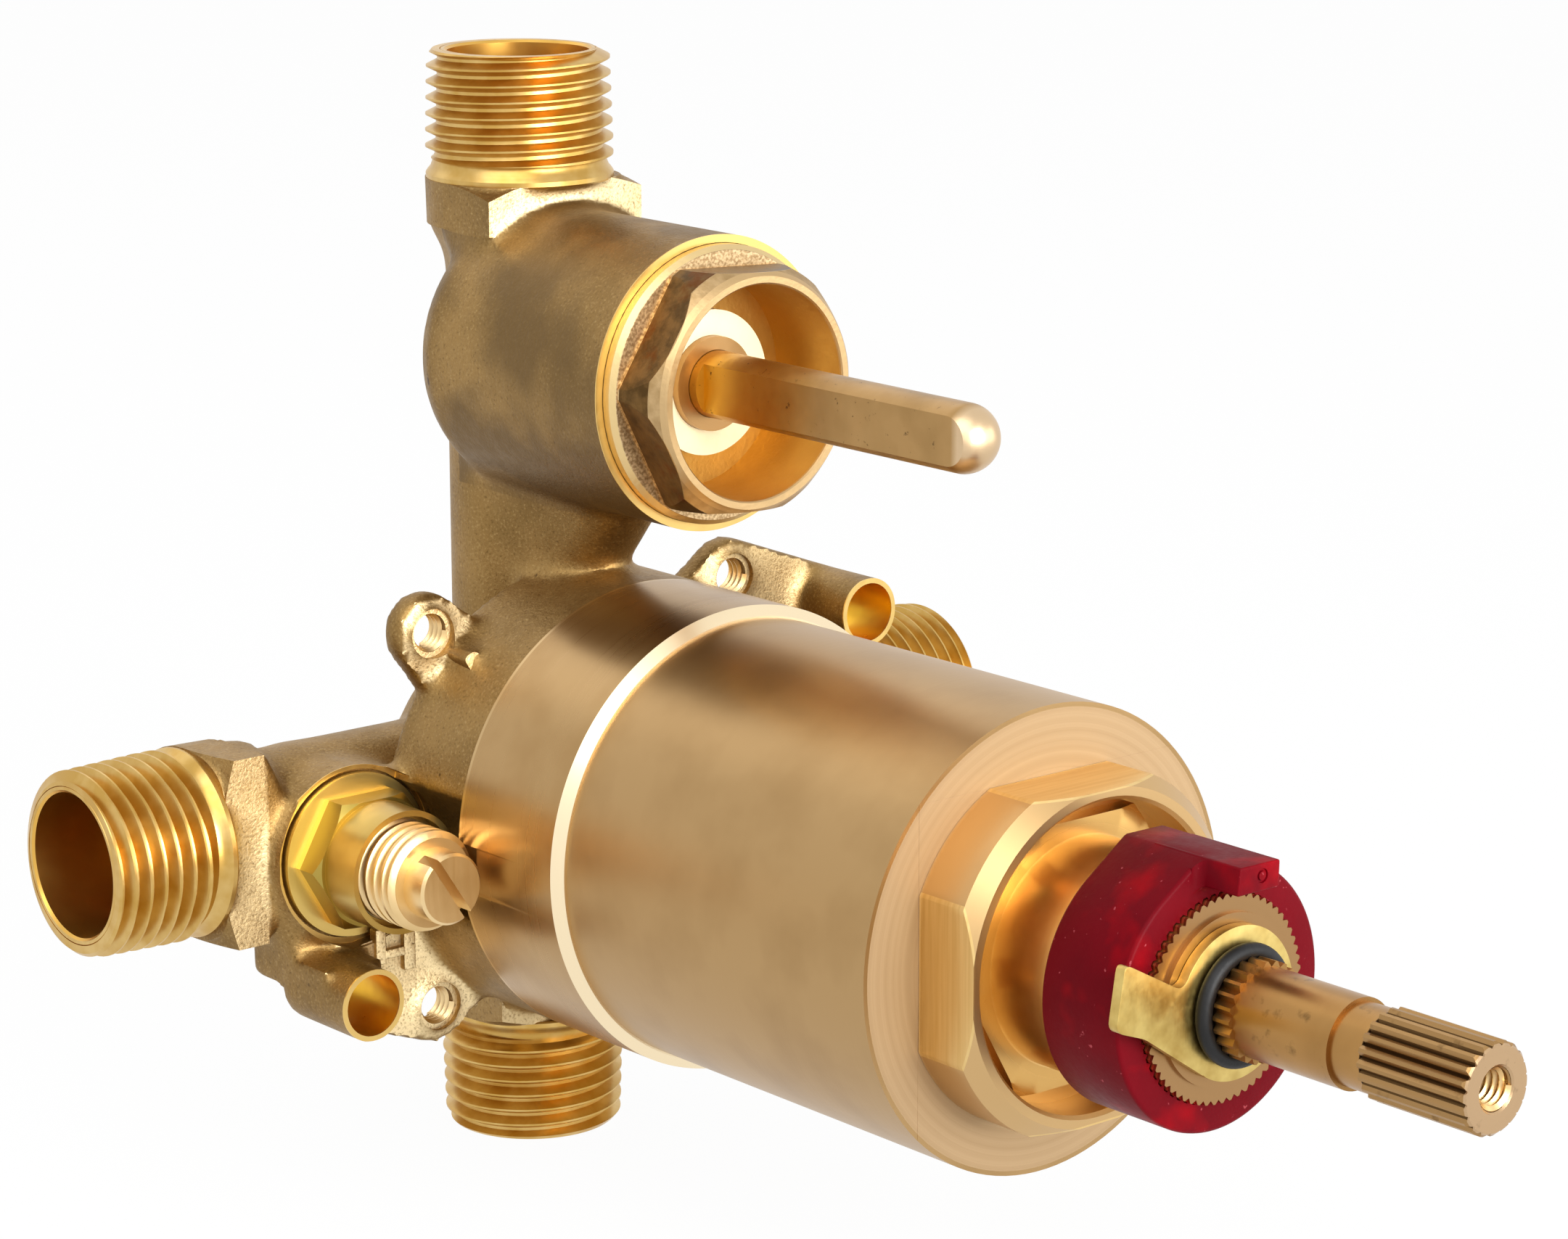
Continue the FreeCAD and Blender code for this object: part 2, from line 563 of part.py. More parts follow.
for name, (across, up) in REACH.items():
    spot = {"x": across, "y": "pipe_setback", "z": up, "turn": PIPE_TURNS[name]}
    stub = turned(f"{name}_stub", [
        ("0", "0"),
        ("thread_radius - thread_chamfer", "0"),
        ("thread_radius", "-thread_chamfer"),
        ("thread_radius", "-thread_length + band_length"),
        ("band_radius - band_fall", "-thread_length + band_length"),
        ("band_radius", "-thread_length"),
        ("0", "-thread_length"),
    ], **spot)
    corners = turned(f"{name}_corners", [
        ("0", "-thread_length"),
        ("band_radius", "-thread_length"),
        ("block_corner", "-thread_length - block_bevel"),
        ("block_corner", "-thread_length - block_length"),
        ("pipe_radius", "-thread_length - block_length - block_taper"),
        ("0", "-thread_length - block_length - block_taper"),
    ], **spot)
    shank = turned(f"{name}_shank", [
        ("0", "-thread_length"),
        ("band_radius", "-thread_length"),
        ("band_radius - 2 * band_fall", "-thread_length - block_length"),
        ("pipe_radius", "-thread_length - block_length - block_taper"),
        ("0", "-thread_length - block_length - block_taper"),
    ], **spot)
    grip = milled(f"{name}_grip", "block_half_width", "0", "block_half_depth", spot)
    back = milled(f"{name}_back", "block_corner", "-block_corner", "block_half_depth", spot)
    pipe_ends += [stub, common(f"{name}_front_half", corners, grip), common(f"{name}_back_half", shank, back)]
    end_bores.append(turned(f"{name}_bore", [
        ("0", "1"),
        ("end_bore", "1"),
        ("end_bore", "-end_bore_depth"),
        ("passage_radius", "-end_bore_depth - (end_bore - passage_radius)"),
        ("0", "-end_bore_depth - (end_bore - passage_radius)"),
    ], **spot))

pipes = [
    cylinder("riser", "pipe_radius", "top_reach + bottom_reach - 2 * thread_length - 2 * block_length", UPRIGHT,
             y="pipe_setback", z="-bottom_reach + thread_length + block_length"),
    cylinder("inlet_pipe", "pipe_radius", "2 * (inlet_reach - thread_length - block_length)", RIGHTWARD,
             x="-(inlet_reach - thread_length - block_length)", y="pipe_setback"),
]

# Diverter boss and the hollow web that joins it to the drum
boss = turned("boss", [
    ("0", "boss_rear"),
    ("boss_radius - boss_round", "boss_rear"),
    ("boss_radius - 0.3 * boss_round", "boss_rear - 0.3 * boss_round"),
    ("boss_radius", "boss_rear - boss_round"),
    ("boss_radius", "-boss_front"),
    ("0", "-boss_front"),
], z="diverter_up")


def slot_wire(height, nose_front, nose):
    """The web's level section: the round pipe behind, a smaller round nose in front, tangents between."""
    back, radius = size("pipe_setback"), size("pipe_radius")
    front = nose - nose_front
    lean = math.asin((radius - nose) / (back - front))
    wide, tall = math.cos(lean), -math.sin(lean)
    right_back = Vector(radius * wide, back + radius * tall, height)
    right_front = Vector(nose * wide, front + nose * tall, height)
    left_front = Vector(-nose * wide, front + nose * tall, height)
    left_back = Vector(-radius * wide, back + radius * tall, height)
    return Part.Wire([
        Part.Arc(left_back, Vector(0, back + radius, height), right_back).toShape(),
        Part.LineSegment(right_back, right_front).toShape(),
        Part.Arc(right_front, Vector(0, front - nose, height), left_front).toShape(),
        Part.LineSegment(left_front, left_back).toShape(),
    ])


web = doc.addObject("Part::Feature", "web")
web.Shape = Part.makeLoft([
    slot_wire(size("web_low"), size("web_low_front"), size("web_nose")),
    slot_wire(size("web_high"), size("web_high_front"), size("web_nose") + 1),
], True)

# Stop bosses, one on each inlet
stop_bosses = []
stop_cuts = []
for side, hand in ((-1, "hot"), (1, "cold")):
    spot = {"x": f"{side} * stop_across", "z": "-stop_down"}
    stop_bosses.append(turned(f"{hand}_boss", [
        ("0", "stop_rear"),
        ("stop_radius - stop_round", "stop_rear"),
        ("stop_radius", "stop_rear - stop_round"),
        ("stop_radius", "stop_setback"),
        ("0", "stop_setback"),
    ], **spot))
    stop_cuts.append(turned(f"{hand}_boss_bore", [
        ("0", "-20"),
        ("stop_recess", "-20"),
        ("stop_recess", "stop_setback + stop_recess_depth"),
        ("stop_thread", "stop_setback + stop_recess_depth"),
        ("stop_thread", "stop_thread_rear"),
        ("stop_chamber", "stop_thread_rear"),
        ("stop_chamber", "stop_seat"),
        ("seat_hole", "stop_seat"),
        ("seat_hole", "seat_hole_rear"),
        ("0", "seat_hole_rear"),
    ], **spot))
    stop_cuts.append(cylinder(
        f"{hand}_inlet_way", "passage_radius", "inlet_reach - stop_across - stop_chamber + 1.5 - end_bore_depth",
        RIGHTWARD, y="pipe_setback",
        x="-(inlet_reach - end_bore_depth)" if side < 0 else "stop_across + stop_chamber - 1.5"))

chamber = turned("chamber", [
    ("0", "-neck_front - 1"),
    ("spigot_bore", "-neck_front - 1"),
    ("spigot_bore", "-spigot_depth"),
    ("barrel_bore", "-spigot_depth"),
    ("barrel_bore", "-barrel_floor"),
    ("chamber_radius", "-barrel_floor"),
    ("chamber_radius", "chamber_rear"),
    ("0", "chamber_rear"),
])
diverter_chamber = turned("diverter_chamber", [
    ("0", "-boss_front - 1"),
    ("boss_recess", "-boss_front - 1"),
    ("boss_recess", "-boss_front + boss_recess_depth"),
    ("boss_thread", "-boss_front + boss_recess_depth"),
    ("boss_thread", "-boss_thread_rear"),
    ("disc_bore", "-boss_thread_rear"),
    ("disc_bore", "-disc_floor"),
    ("0", "-disc_floor"),
], z="diverter_up")

# Waterways. Hot water enters the rear groove of the cage and cold water the front one, mixed water rises
# through the web to the discs, and from there it goes up, or down the riser and round the drum.
ways = [
    cylinder("hot_feed", "feed_radius", "stop_across - chamber_radius + 1", RIGHTWARD,
             x="-stop_across", y="feed_rear", z="-stop_down"),
    cylinder("cold_feed", "feed_radius", "stop_across - cross_across", RIGHTWARD,
             x="cross_across", y="feed_rear", z="-stop_down"),
    cylinder("cold_cross", "cross_radius", "feed_rear - cold_window", x="cross_across", y="cold_window",
             z="-stop_down"),
    cylinder("cold_entry", "cross_radius", "cross_across - chamber_radius + 2", RIGHTWARD,
             x="chamber_radius - 2", y="cold_window", z="-stop_down"),
    cylinder("mixed_rise", "cross_radius", "mixed_knee + 1 - barrel_bore + 2", UPRIGHT,
             x="mixed_across", y="-mixed_front", z="barrel_bore - 2"),
    cylinder("mixed_slope", "cross_radius", "mixed_slope_length",
             FreeCAD.Rotation(Vector(1, 0, 0), size("mixed_lean")),
             x="mixed_across", y="-mixed_front", z="mixed_knee"),
    cylinder("top_way", "passage_radius", "top_reach - end_bore_depth - diverter_up - port_circle", UPRIGHT,
             y="pipe_setback", z="diverter_up + port_circle"),
    cylinder("riser_way", "passage_radius", "diverter_up - port_circle - channel_up + cross_radius + way_overrun",
             UPRIGHT, y="pipe_setback", z="channel_up - cross_radius - way_overrun"),
    cylinder("bottom_way", "passage_radius",
             "bottom_reach - end_bore_depth - channel_up + cross_radius + way_overrun + 2",
             UPRIGHT, y="pipe_setback", z="-bottom_reach + end_bore_depth - 2"),
    cylinder("top_port", "port_radius", "disc_floor + pipe_setback", y="-disc_floor",
             z="diverter_up + port_circle"),
    cylinder("riser_port", "port_radius", "disc_floor + pipe_setback", y="-disc_floor",
             z="diverter_up - port_circle"),
]
channel_ring = turned("channel_ring", [
    ("channel_inner", "-channel_front"),
    ("channel_outer", "-channel_front"),
    ("channel_outer", "channel_length - channel_front"),
    ("channel_inner", "channel_length - channel_front"),
])
channel_half = box("channel_half", "drum_radius - 1", "2 * drum_radius", "2 * drum_radius",
                   x="-drum_radius", y="-drum_radius", z="-drum_radius")
ways.append(common("channel", channel_ring, channel_half))
for i, side in enumerate((-1, 1)):
    ways.append(cylinder(f"channel_end_{i}", "cross_radius", "pipe_setback - 1", x="-channel_across",
                         y="1", z=f"{side} * channel_up"))
casting = fuse("casting", [drum, lugs, nib, boss, web] + lug_eyes + tube_forms + [rib] + pipes + pipe_ends
               + stop_bosses)
valve_body = casting
for step, tools in (("turned", [chamber, diverter_chamber]), ("drilled", lug_holes + tube_bores),
                    ("stops", stop_cuts), ("ends", end_bores)):
    valve_body = cut(f"valve_body_{step}", valve_body, tools)
for way in ways:
    valve_body = cut(f"valve_body_{way.Name}", valve_body, [way])
node("valve_body", valve_body)

# Front sleeve: screwed into the neck, with a collar that a wrench grips on four flats
sleeve_blank = turned("sleeve_blank", [
    ("sleeve_bore", "-spigot_depth - 0.2"),
    ("spigot_bore - thread_clearance", "-spigot_depth - 0.2"),
    ("spigot_bore - thread_clearance", "-sleeve_seal + big_oring + oring_room"),
    ("spigot_bore - 2 * big_oring - 0.05", "-sleeve_seal + big_oring + oring_room"),
    ("spigot_bore - 2 * big_oring - 0.05", "-sleeve_seal - big_oring - oring_room"),
    ("spigot_bore - thread_clearance", "-sleeve_seal - big_oring - oring_room"),
    ("spigot_bore - thread_clearance", "-neck_front"),
    ("sleeve_radius", "-neck_front"),
    ("sleeve_radius", "-sleeve_front"),
    ("collar_radius", "-sleeve_front"),
    ("collar_radius", "-collar_front + collar_bevel"),
    ("collar_radius - collar_bevel", "-collar_front"),
    ("collar_bore + 0.4", "-collar_front"),
    ("collar_bore", "-collar_front + 0.4"),
    ("collar_bore", "-collar_front + collar_lip"),
    ("sleeve_bore", "-collar_front + collar_lip"),
])
flat_tools = []
for i, (x, z) in enumerate((("collar_flat", "-collar_radius"), ("-collar_flat - 6", "-collar_radius"),
                            ("-collar_radius", "collar_flat"), ("-collar_radius", "-collar_flat - 6"))):
    upright = i < 2
    flat_tools.append(box(
        f"collar_mill_{i}", "6" if upright else "2 * collar_radius", "collar_front - collar_flat_rear + 1",
        "2 * collar_radius" if upright else "6", x=x, y="-collar_front - 1", z=z))
node("front_sleeve", cut("front_sleeve_cut", sleeve_blank, flat_tools))

# Cartridge bonnet: one turned piece with flange, hexagon, neck and serrated hub
bonnet_turned = turned("bonnet_turned", [
    ("stem_radius + stem_bore_gap", "-ring_front - hub_step"),
    ("hub_step_radius", "-ring_front - hub_step"),
    ("hub_step_radius", "-ring_front"),
    ("hub_radius - serration_depth - 0.1", "-ring_front"),
    ("hub_radius - serration_depth - 0.1", "-ring_rear_front + 0.1"),
    ("neck_radius", "-ring_rear_front + 0.1"),
    ("neck_radius", "-collar_front + collar_lip"),
    ("flange_radius", "-collar_front + collar_lip"),
    ("flange_radius", "-collar_front + collar_lip + flange_length"),
    ("barrel_radius", "-collar_front + collar_lip + flange_length"),
    ("barrel_radius", "-barrel_joint"),
    ("spigot_joint", "-barrel_joint"),
    ("spigot_joint", "-barrel_joint - spigot_joint_length"),
    ("cage_bore", "-barrel_joint - spigot_joint_length"),
    ("cage_bore", "-nut_floor"),
    ("cavity_radius", "-nut_floor"),
    ("cavity_radius", "-cavity_front"),
    ("stem_radius + stem_bore_gap", "-cavity_front"),
])
bonnet_hex = common(
    "bonnet_hex",
    hexagon("bonnet_hex_prism", "hex_corner", "hex_front - collar_front + collar_lip", y="-hex_front"),
    turned("bonnet_hex_bevel", [
        ("0", "-hex_front"),
        ("0.93 * hex_corner", "-hex_front"),
        ("1.01 * hex_corner", "-hex_front + 0.7"),
        ("1.01 * hex_corner", "-collar_front + collar_lip"),
        ("0", "-collar_front + collar_lip"),
    ]))
key_way = box("key_way", "2 * key_half_width + 2 * slide_gap", "cavity_front - nut_floor",
              "cavity_radius + key_height", x="-key_half_width - slide_gap", y="-cavity_front + 3")
hub_teeth = toothed("hub_teeth", "serration_count", size("hub_radius"), size("serration_depth"),
                    -size("ring_front"), 0.1 - size("ring_rear_front"))
bonnet_solid = fuse("bonnet_solid", [
    bonnet_turned,
    cut("bonnet_rings", fuse("bonnet_ring_blanks", [bonnet_hex, hub_teeth]),
        [cylinder("bonnet_ring_bore", "hub_step_radius", "ring_front", y="-ring_front - 1")]),
])
node("cartridge_bonnet", cut("cartridge_bonnet_cut", bonnet_solid, [key_way]))

# Limit ring: a plastic ring on the serrated hub, with the tab that stops the washer's ear
ring_blank = cylinder("ring_blank", "ring_radius", "ring_front - ring_rear_front", y="-ring_front")
ring_tab = box("ring_tab", "2 * tab_half_width", "tab_front - ring_rear_front", "tab_outer - tab_inner",
               x="-tab_half_width", y="-tab_front", z="tab_inner")
ring_nub = box("ring_nub", "2", "1.2", "1.2", x="-1", y="-ring_rear_front - 1.2", z="-ring_radius - 0.7")
ring_teeth = toothed("ring_teeth", "serration_count", size("hub_radius") + size("serration_gap"),
                     size("serration_depth"), -size("ring_front") - 1, 1 - size("ring_rear_front"), 0.45)
node("limit_ring", cut("limit_ring_cut", fuse("ring_solid", [ring_blank, ring_tab, ring_nub]), [ring_teeth]))

# Tab washer, driven by the stem: its ear meets the tab of the limit ring at both ends of travel
washer_front = "-ring_front - hub_step - washer_gap - washer_thickness"
washer_disc = cylinder("washer_disc", "washer_radius", "washer_thickness", y=washer_front)
washer_ear = padded("washer_ear", [
    ("0", "-ear_half_width"),
    ("ear_reach", "-ear_half_width"),
    ("ear_reach", "ear_half_width"),
    ("0", "ear_half_width"),
], washer_front, "washer_thickness")
washer_ear.Placement.Rotation = FreeCAD.Rotation(Vector(0, 1, 0), 180 + size("ear_tilt"))
washer_teeth = toothed("washer_teeth", "drive_spline_count", size("drive_spline_radius") + 0.1,
                       size("spline_depth"), -size("tab_front"), -size("ring_rear_front"))
node("tab_washer", cut("tab_washer_cut", fuse("washer_solid", [washer_disc, washer_ear]), [washer_teeth]))

# Main stem: splined end with a tapped hole, thrust collar and drive thread
stem_core = turned("stem_core", [
    ("0", "-stem_front"),
    ("stem_radius - end_spline_depth", "-stem_front"),
    ("stem_radius - end_spline_depth", "-stem_front + end_spline_length"),
    ("stem_neck", "-stem_front + end_spline_length"),
    ("stem_neck", "-stem_front + end_spline_length + stem_neck_length"),
    ("stem_radius", "-stem_front + end_spline_length + stem_neck_length"),
    ("stem_radius", "-seal_front - 0.7"),
    ("stem_radius - 2 * seal_section", "-seal_front - 0.7"),
    ("stem_radius - 2 * seal_section", "-seal_front + 0.7"),
    ("stem_radius", "-seal_front + 0.7"),
    ("stem_radius", "-cavity_front + thrust_washer_thickness"),
    ("thrust_radius", "-cavity_front + thrust_washer_thickness"),
    ("thrust_radius", "-cavity_front + thrust_washer_thickness + thrust_length"),
    ("drive_thread", "-cavity_front + thrust_washer_thickness + thrust_length"),
    ("drive_thread", "-drive_thread_front"),
    ("0", "-drive_thread_front"),
])
end_spline = common(
    "end_spline",
    toothed("end_spline_prism", "end_spline_count", size("stem_radius"), size("end_spline_depth"),
            -size("stem_front"), size("end_spline_length") - size("stem_front")),
    turned("end_spline_bevel", [
        ("0", "-stem_front"),
        ("stem_radius - stem_bevel", "-stem_front"),
        ("1.02 * stem_radius", "-stem_front + 1.3 * stem_bevel"),
        ("1.02 * stem_radius", "-stem_front + end_spline_length"),
        ("0", "-stem_front + end_spline_length"),
    ]))
drive_spline = cut(
    "drive_spline",
    toothed("drive_spline_prism", "drive_spline_count", size("drive_spline_radius"), size("spline_depth"),
            -size("drive_spline_front"), -size("ring_front") - size("hub_step") - size("washer_gap")),
    [turned("ring_groove", [
        ("stem_radius", "-oring_front - oring_section"),
        ("2 * stem_radius", "-oring_front - oring_section"),
        ("2 * stem_radius", "-oring_front + oring_section"),
        ("stem_radius", "-oring_front + oring_section"),
    ])])
stem_hole = turned("stem_hole_tool", [
    ("0", "-stem_front - 1"),
    ("stem_hole + stem_countersink", "-stem_front - 1"),
    ("stem_hole + stem_countersink", "-stem_front"),
    ("stem_hole", "-stem_front + stem_countersink"),
    ("stem_hole", "-stem_front + stem_hole_depth"),
    ("0", "-stem_front + stem_hole_depth + stem_hole"),
])
node("main_stem", cut("main_stem_cut", fuse("stem_solid", [stem_core, end_spline, drive_spline]), [stem_hole]))
node("stem_oring", ring("stem_oring", "stem_radius + oring_section + 0.02", "oring_section", y="-oring_front"))
node("stem_seal", seal("stem_seal_body", "stem_radius - seal_section", "seal_section - 0.02", y="-seal_front"))
node("thrust_washer", turned("thrust_washer", [
    ("stem_radius + slide_gap", "-cavity_front + 0.03"),
    ("thrust_radius", "-cavity_front + 0.03"),
    ("thrust_radius", "-cavity_front + thrust_washer_thickness - 0.03"),
    ("stem_radius + slide_gap", "-cavity_front + thrust_washer_thickness - 0.03"),
]))

# Drive nut: a keyed cup that the stem's thread moves along the axis, with the overload spring inside
nut_turned = turned("nut_turned", [
    ("drive_thread + stem_bore_gap", "-nut_front"),
    ("cavity_radius - slide_gap", "-nut_front"),
    ("cavity_radius - slide_gap", "-nut_rear"),
    ("cup_bore", "-nut_rear"),
    ("cup_bore", "-pin_seat_rear + clip_thickness + 0.1"),
    ("cup_bore + 0.5", "-pin_seat_rear + clip_thickness + 0.1"),
    ("cup_bore + 0.5", "-pin_seat_rear"),
    ("cup_bore", "-pin_seat_rear"),
    ("cup_bore", "-nut_floor"),
    ("drive_thread + stem_bore_gap", "-nut_floor"),
])
nut_key = box("nut_key", "2 * key_half_width", "nut_front - nut_floor - 6", "key_height + 1",
              x="-key_half_width", y="-nut_front + 1", z="cavity_radius - slide_gap - 1")
node("drive_nut", fuse("drive_nut_solid", [nut_turned, nut_key]))
node("overload_spring", spring("overload_spring", size("overload_coil"), -size("nut_floor"),
                               -size("pin_seat_front"), 8))
node("pin_seat", turned("pin_seat", [
    ("0", "-pin_seat_front"),
    ("cup_bore - 0.1", "-pin_seat_front"),
    ("cup_bore - 0.1", "-pin_seat_rear"),
    ("pin_radius + 0.05", "-pin_seat_rear"),
    ("pin_radius + 0.05", "-pin_seat_rear - 1"),
    ("0", "-pin_seat_rear - 1"),
]))
node("seat_clip", turned("seat_clip", [
    ("cup_bore - 1", "-pin_seat_rear + 0.05"),
    ("cup_bore + 0.45", "-pin_seat_rear + 0.05"),
    ("cup_bore + 0.45", "-pin_seat_rear + clip_thickness"),
    ("cup_bore - 1", "-pin_seat_rear + clip_thickness"),
]))
node("plunger_pin", cylinder("plunger_pin", "pin_radius", "pin_seat_rear + 1 - pin_rear",
                             y="-pin_seat_rear - 1"))

# Thermal element and the shuttle that it moves between the hot and cold windows
node("wax_element", turned("wax_element", [
    ("pin_radius + 0.05", "-guide_front"),
    ("guide_radius", "-guide_front"),
    ("guide_radius", "-element_flange_front"),
    ("element_flange", "-element_flange_front"),
    ("element_flange", "0"),
    ("element_radius", "0"),
    ("element_radius", "element_rear - 1"),
    ("element_radius - 1", "element_rear"),
    ("0", "element_rear"),
    ("0", "-pin_rear"),
    ("pin_radius + 0.05", "-pin_rear"),
]))
shuttle_turned = turned("shuttle_turned", [
    ("element_radius + 0.05", "0.05"),
    ("shuttle_post", "0.05"),
    ("shuttle_post", "shuttle_front"),
    ("cage_bore - disc_gap", "shuttle_front"),
    ("cage_bore - disc_gap", "shuttle_front + shuttle_length"),
    ("cage_bore - shuttle_wall", "shuttle_front + shuttle_length"),
    ("cage_bore - shuttle_wall", "shuttle_front + 1.4"),
    ("element_radius + 1.2", "shuttle_front + 1.4"),
    ("element_radius + 1.2", "1.5"),
    ("element_radius + 0.05", "1.5"),
])


def spokes(name, reach, half_width, front, thickness):
    """Three bars crossed on the main axis: a tool for six windows."""
    body = doc.addObject("PartDesign::Body", name)
    bar = body.newObject("PartDesign::Pad", f"{name}_bar")
    bar.Profile = profile(body, f"{name}_outline", [
        (f"-({reach})", f"-({half_width})"),
        (reach, f"-({half_width})"),
        (reach, half_width),
        (f"-({reach})", half_width),
    ], "XZ_Plane")
    bar.setExpression("Length", bound(thickness))
    bar.Reversed = True
    pattern = body.newObject("PartDesign::PolarPattern", f"{name}_turn")
    pattern.Originals = [bar]
    pattern.Axis = (next(a for a in body.Origin.OriginFeatures if a.Role == "Y_Axis"), [""])
    pattern.Angle = 360
    pattern.Occurrences = 6
    body.Tip = pattern
    return place(body, y=front)


shuttle_ports = [spokes("post_gaps", "shuttle_post + 1", "1.8", "1.8", "shuttle_front - 2")]
for i in range(6):
    angle = math.radians(60 * i)
    shuttle_ports.append(cylinder(
        f"shuttle_port_{i}", "1.1", "3", y="shuttle_front - 1",
        x=f"{math.cos(angle):.4f} * (cage_bore + shuttle_post) / 2.06",
        z=f"{math.sin(angle):.4f} * (cage_bore + shuttle_post) / 2.06"))
node("shuttle", cut("shuttle_cut", shuttle_turned, shuttle_ports))
node("return_spring", spring("return_spring", size("return_coil"), size("shuttle_front") + 1.4,
                             size("cage_floor"), 3))

# Cage: the rear half of the cartridge, with windows for cold, hot and mixed water
cage_turned = turned("cage_turned", [
    ("cage_bore", "-barrel_joint - spigot_joint_length + 0.2"),
    ("spigot_joint - 0.05", "-barrel_joint - spigot_joint_length + 0.2"),
    ("spigot_joint - 0.05", "-joint_seal - small_oring - 0.1"),
    ("spigot_joint - 0.05 - 2 * small_oring", "-joint_seal - small_oring - 0.1"),
    ("spigot_joint - 0.05 - 2 * small_oring", "-joint_seal + small_oring + 0.1"),
    ("spigot_joint - 0.05", "-joint_seal + small_oring + 0.1"),
    ("spigot_joint - 0.05", "-barrel_joint + 0.02"),
    ("barrel_radius", "-barrel_joint + 0.02"),
    ("barrel_radius", "-mixed_seal - big_oring - 0.15"),
    ("barrel_bore - 2 * big_oring - 0.05", "-mixed_seal - big_oring - 0.15"),
    ("barrel_bore - 2 * big_oring - 0.05", "-mixed_seal + big_oring + 0.15"),
    ("barrel_radius", "-mixed_seal + big_oring + 0.15"),
    ("barrel_radius", "-collector_front"),
    ("collector_radius", "-collector_front"),
    ("collector_radius", "-collector_front + collector_length"),
    ("barrel_radius", "-collector_front + collector_length"),
    ("barrel_radius", "-barrel_floor - 0.05"),
    ("cage_radius", "-barrel_floor - 0.05"),
    ("cage_radius", "cold_seal - small_oring - 0.15"),
    ("chamber_radius - 2 * small_oring - 0.05", "cold_seal - small_oring - 0.15"),
    ("chamber_radius - 2 * small_oring - 0.05", "cold_seal + small_oring + 0.15"),
    ("cage_radius", "cold_seal + small_oring + 0.15"),
    ("cage_radius", "3"),
    ("annulus_radius", "3"),
    ("annulus_radius", "8.4"),
    ("cage_radius", "8.4"),
    ("cage_radius", "hot_seal - small_oring - 0.15"),
    ("chamber_radius - 2 * small_oring - 0.05", "hot_seal - small_oring - 0.15"),
    ("chamber_radius - 2 * small_oring - 0.05", "hot_seal + small_oring + 0.15"),
    ("cage_radius", "hot_seal + small_oring + 0.15"),
    ("cage_radius", "11.4"),
    ("annulus_radius", "11.4"),
    ("annulus_radius", "cage_rear"),
    ("0", "cage_rear"),
    ("0", "cage_floor"),
    ("cage_bore", "cage_floor"),
])
node("cartridge_cage", cut("cartridge_cage_cut", cage_turned, [
    spokes("mixed_windows", "barrel_bore", "3", "-collector_front + 0.6", "window_length"),
    spokes("cold_windows", "chamber_radius", "3", "cold_window - window_length / 2", "window_length"),
    spokes("hot_windows", "chamber_radius", "3", "hot_window - window_length / 2", "window_length - 0.6"),
]))
node("sleeve_oring", seal("sleeve_oring_body", "spigot_bore - big_oring - 0.02", "big_oring", y="-sleeve_seal"))
node("joint_oring", seal("joint_oring_body", "spigot_joint - small_oring - 0.02", "small_oring", y="-joint_seal"))
node("mixed_oring", seal("mixed_oring_body", "barrel_bore - big_oring - 0.02", "big_oring", y="-mixed_seal"))
node("cold_oring", seal("cold_oring_body", "chamber_radius - small_oring - 0.02", "small_oring", y="cold_seal"))
node("hot_oring", seal("hot_oring_body", "chamber_radius - small_oring - 0.02", "small_oring", y="hot_seal"))

# Diverter: bonnet, bush, plastic retainer, stem and two ceramic discs
diverter_turned = turned("diverter_turned", [
    ("cup_bore_radius", "-rim_front"),
    ("rim_radius", "-rim_front"),
    ("rim_radius", "-diverter_flange_front"),
    ("diverter_flange", "-diverter_flange_front"),
    ("diverter_flange", "-boss_front + boss_recess_depth"),
    ("boss_thread - thread_clearance", "-boss_front + boss_recess_depth"),
    ("boss_thread - thread_clearance", "-bonnet_rear"),
    ("disc_cavity", "-bonnet_rear"),
    ("disc_cavity", "-cup_floor + cup_floor_thickness"),
    ("bush_radius", "-cup_floor + cup_floor_thickness"),
    ("bush_radius", "-cup_floor"),
    ("cup_bore_radius", "-cup_floor"),
], z="diverter_up")
diverter_hex = common(
    "diverter_hex_bevelled",
    hexagon("diverter_hex_prism", "diverter_hex", "diverter_hex_front - diverter_flange_front",
            y="-diverter_hex_front", z="diverter_up", degrees=size("diverter_hex_turn")),
    turned("diverter_hex_corners", [
        ("cup_bore_radius", "-diverter_hex_front"),
        ("0.95 * diverter_hex", "-diverter_hex_front"),
        ("1.01 * diverter_hex", "-diverter_hex_front + diverter_hex_bevel"),
        ("1.01 * diverter_hex", "-diverter_flange_front"),
        ("cup_bore_radius", "-diverter_flange_front"),
    ], z="diverter_up"))
node("diverter_bonnet", fuse("diverter_bonnet_solid", [diverter_turned, diverter_hex]))
node("diverter_oring", seal("diverter_oring_body", "boss_thread - 0.6", "0.55", y="-bonnet_rear + 0.7",
                            z="diverter_up"))
node("diverter_bush", turned("diverter_bush", [
    ("bar_radius + stem_bore_gap", "-bush_front"),
    ("bush_radius", "-bush_front"),
    ("bush_radius", "-cup_floor + cup_floor_thickness"),
    ("bar_radius + stem_bore_gap", "-cup_floor + cup_floor_thickness"),
], z="diverter_up"))
node("retainer_disc", turned("retainer_disc", [
    ("bush_radius + 0.02", "-cup_floor - retainer_thickness"),
    ("retainer_radius", "-cup_floor - retainer_thickness"),
    ("retainer_radius", "-cup_floor - 0.02"),
    ("bush_radius + 0.02", "-cup_floor - 0.02"),
], z="diverter_up"))
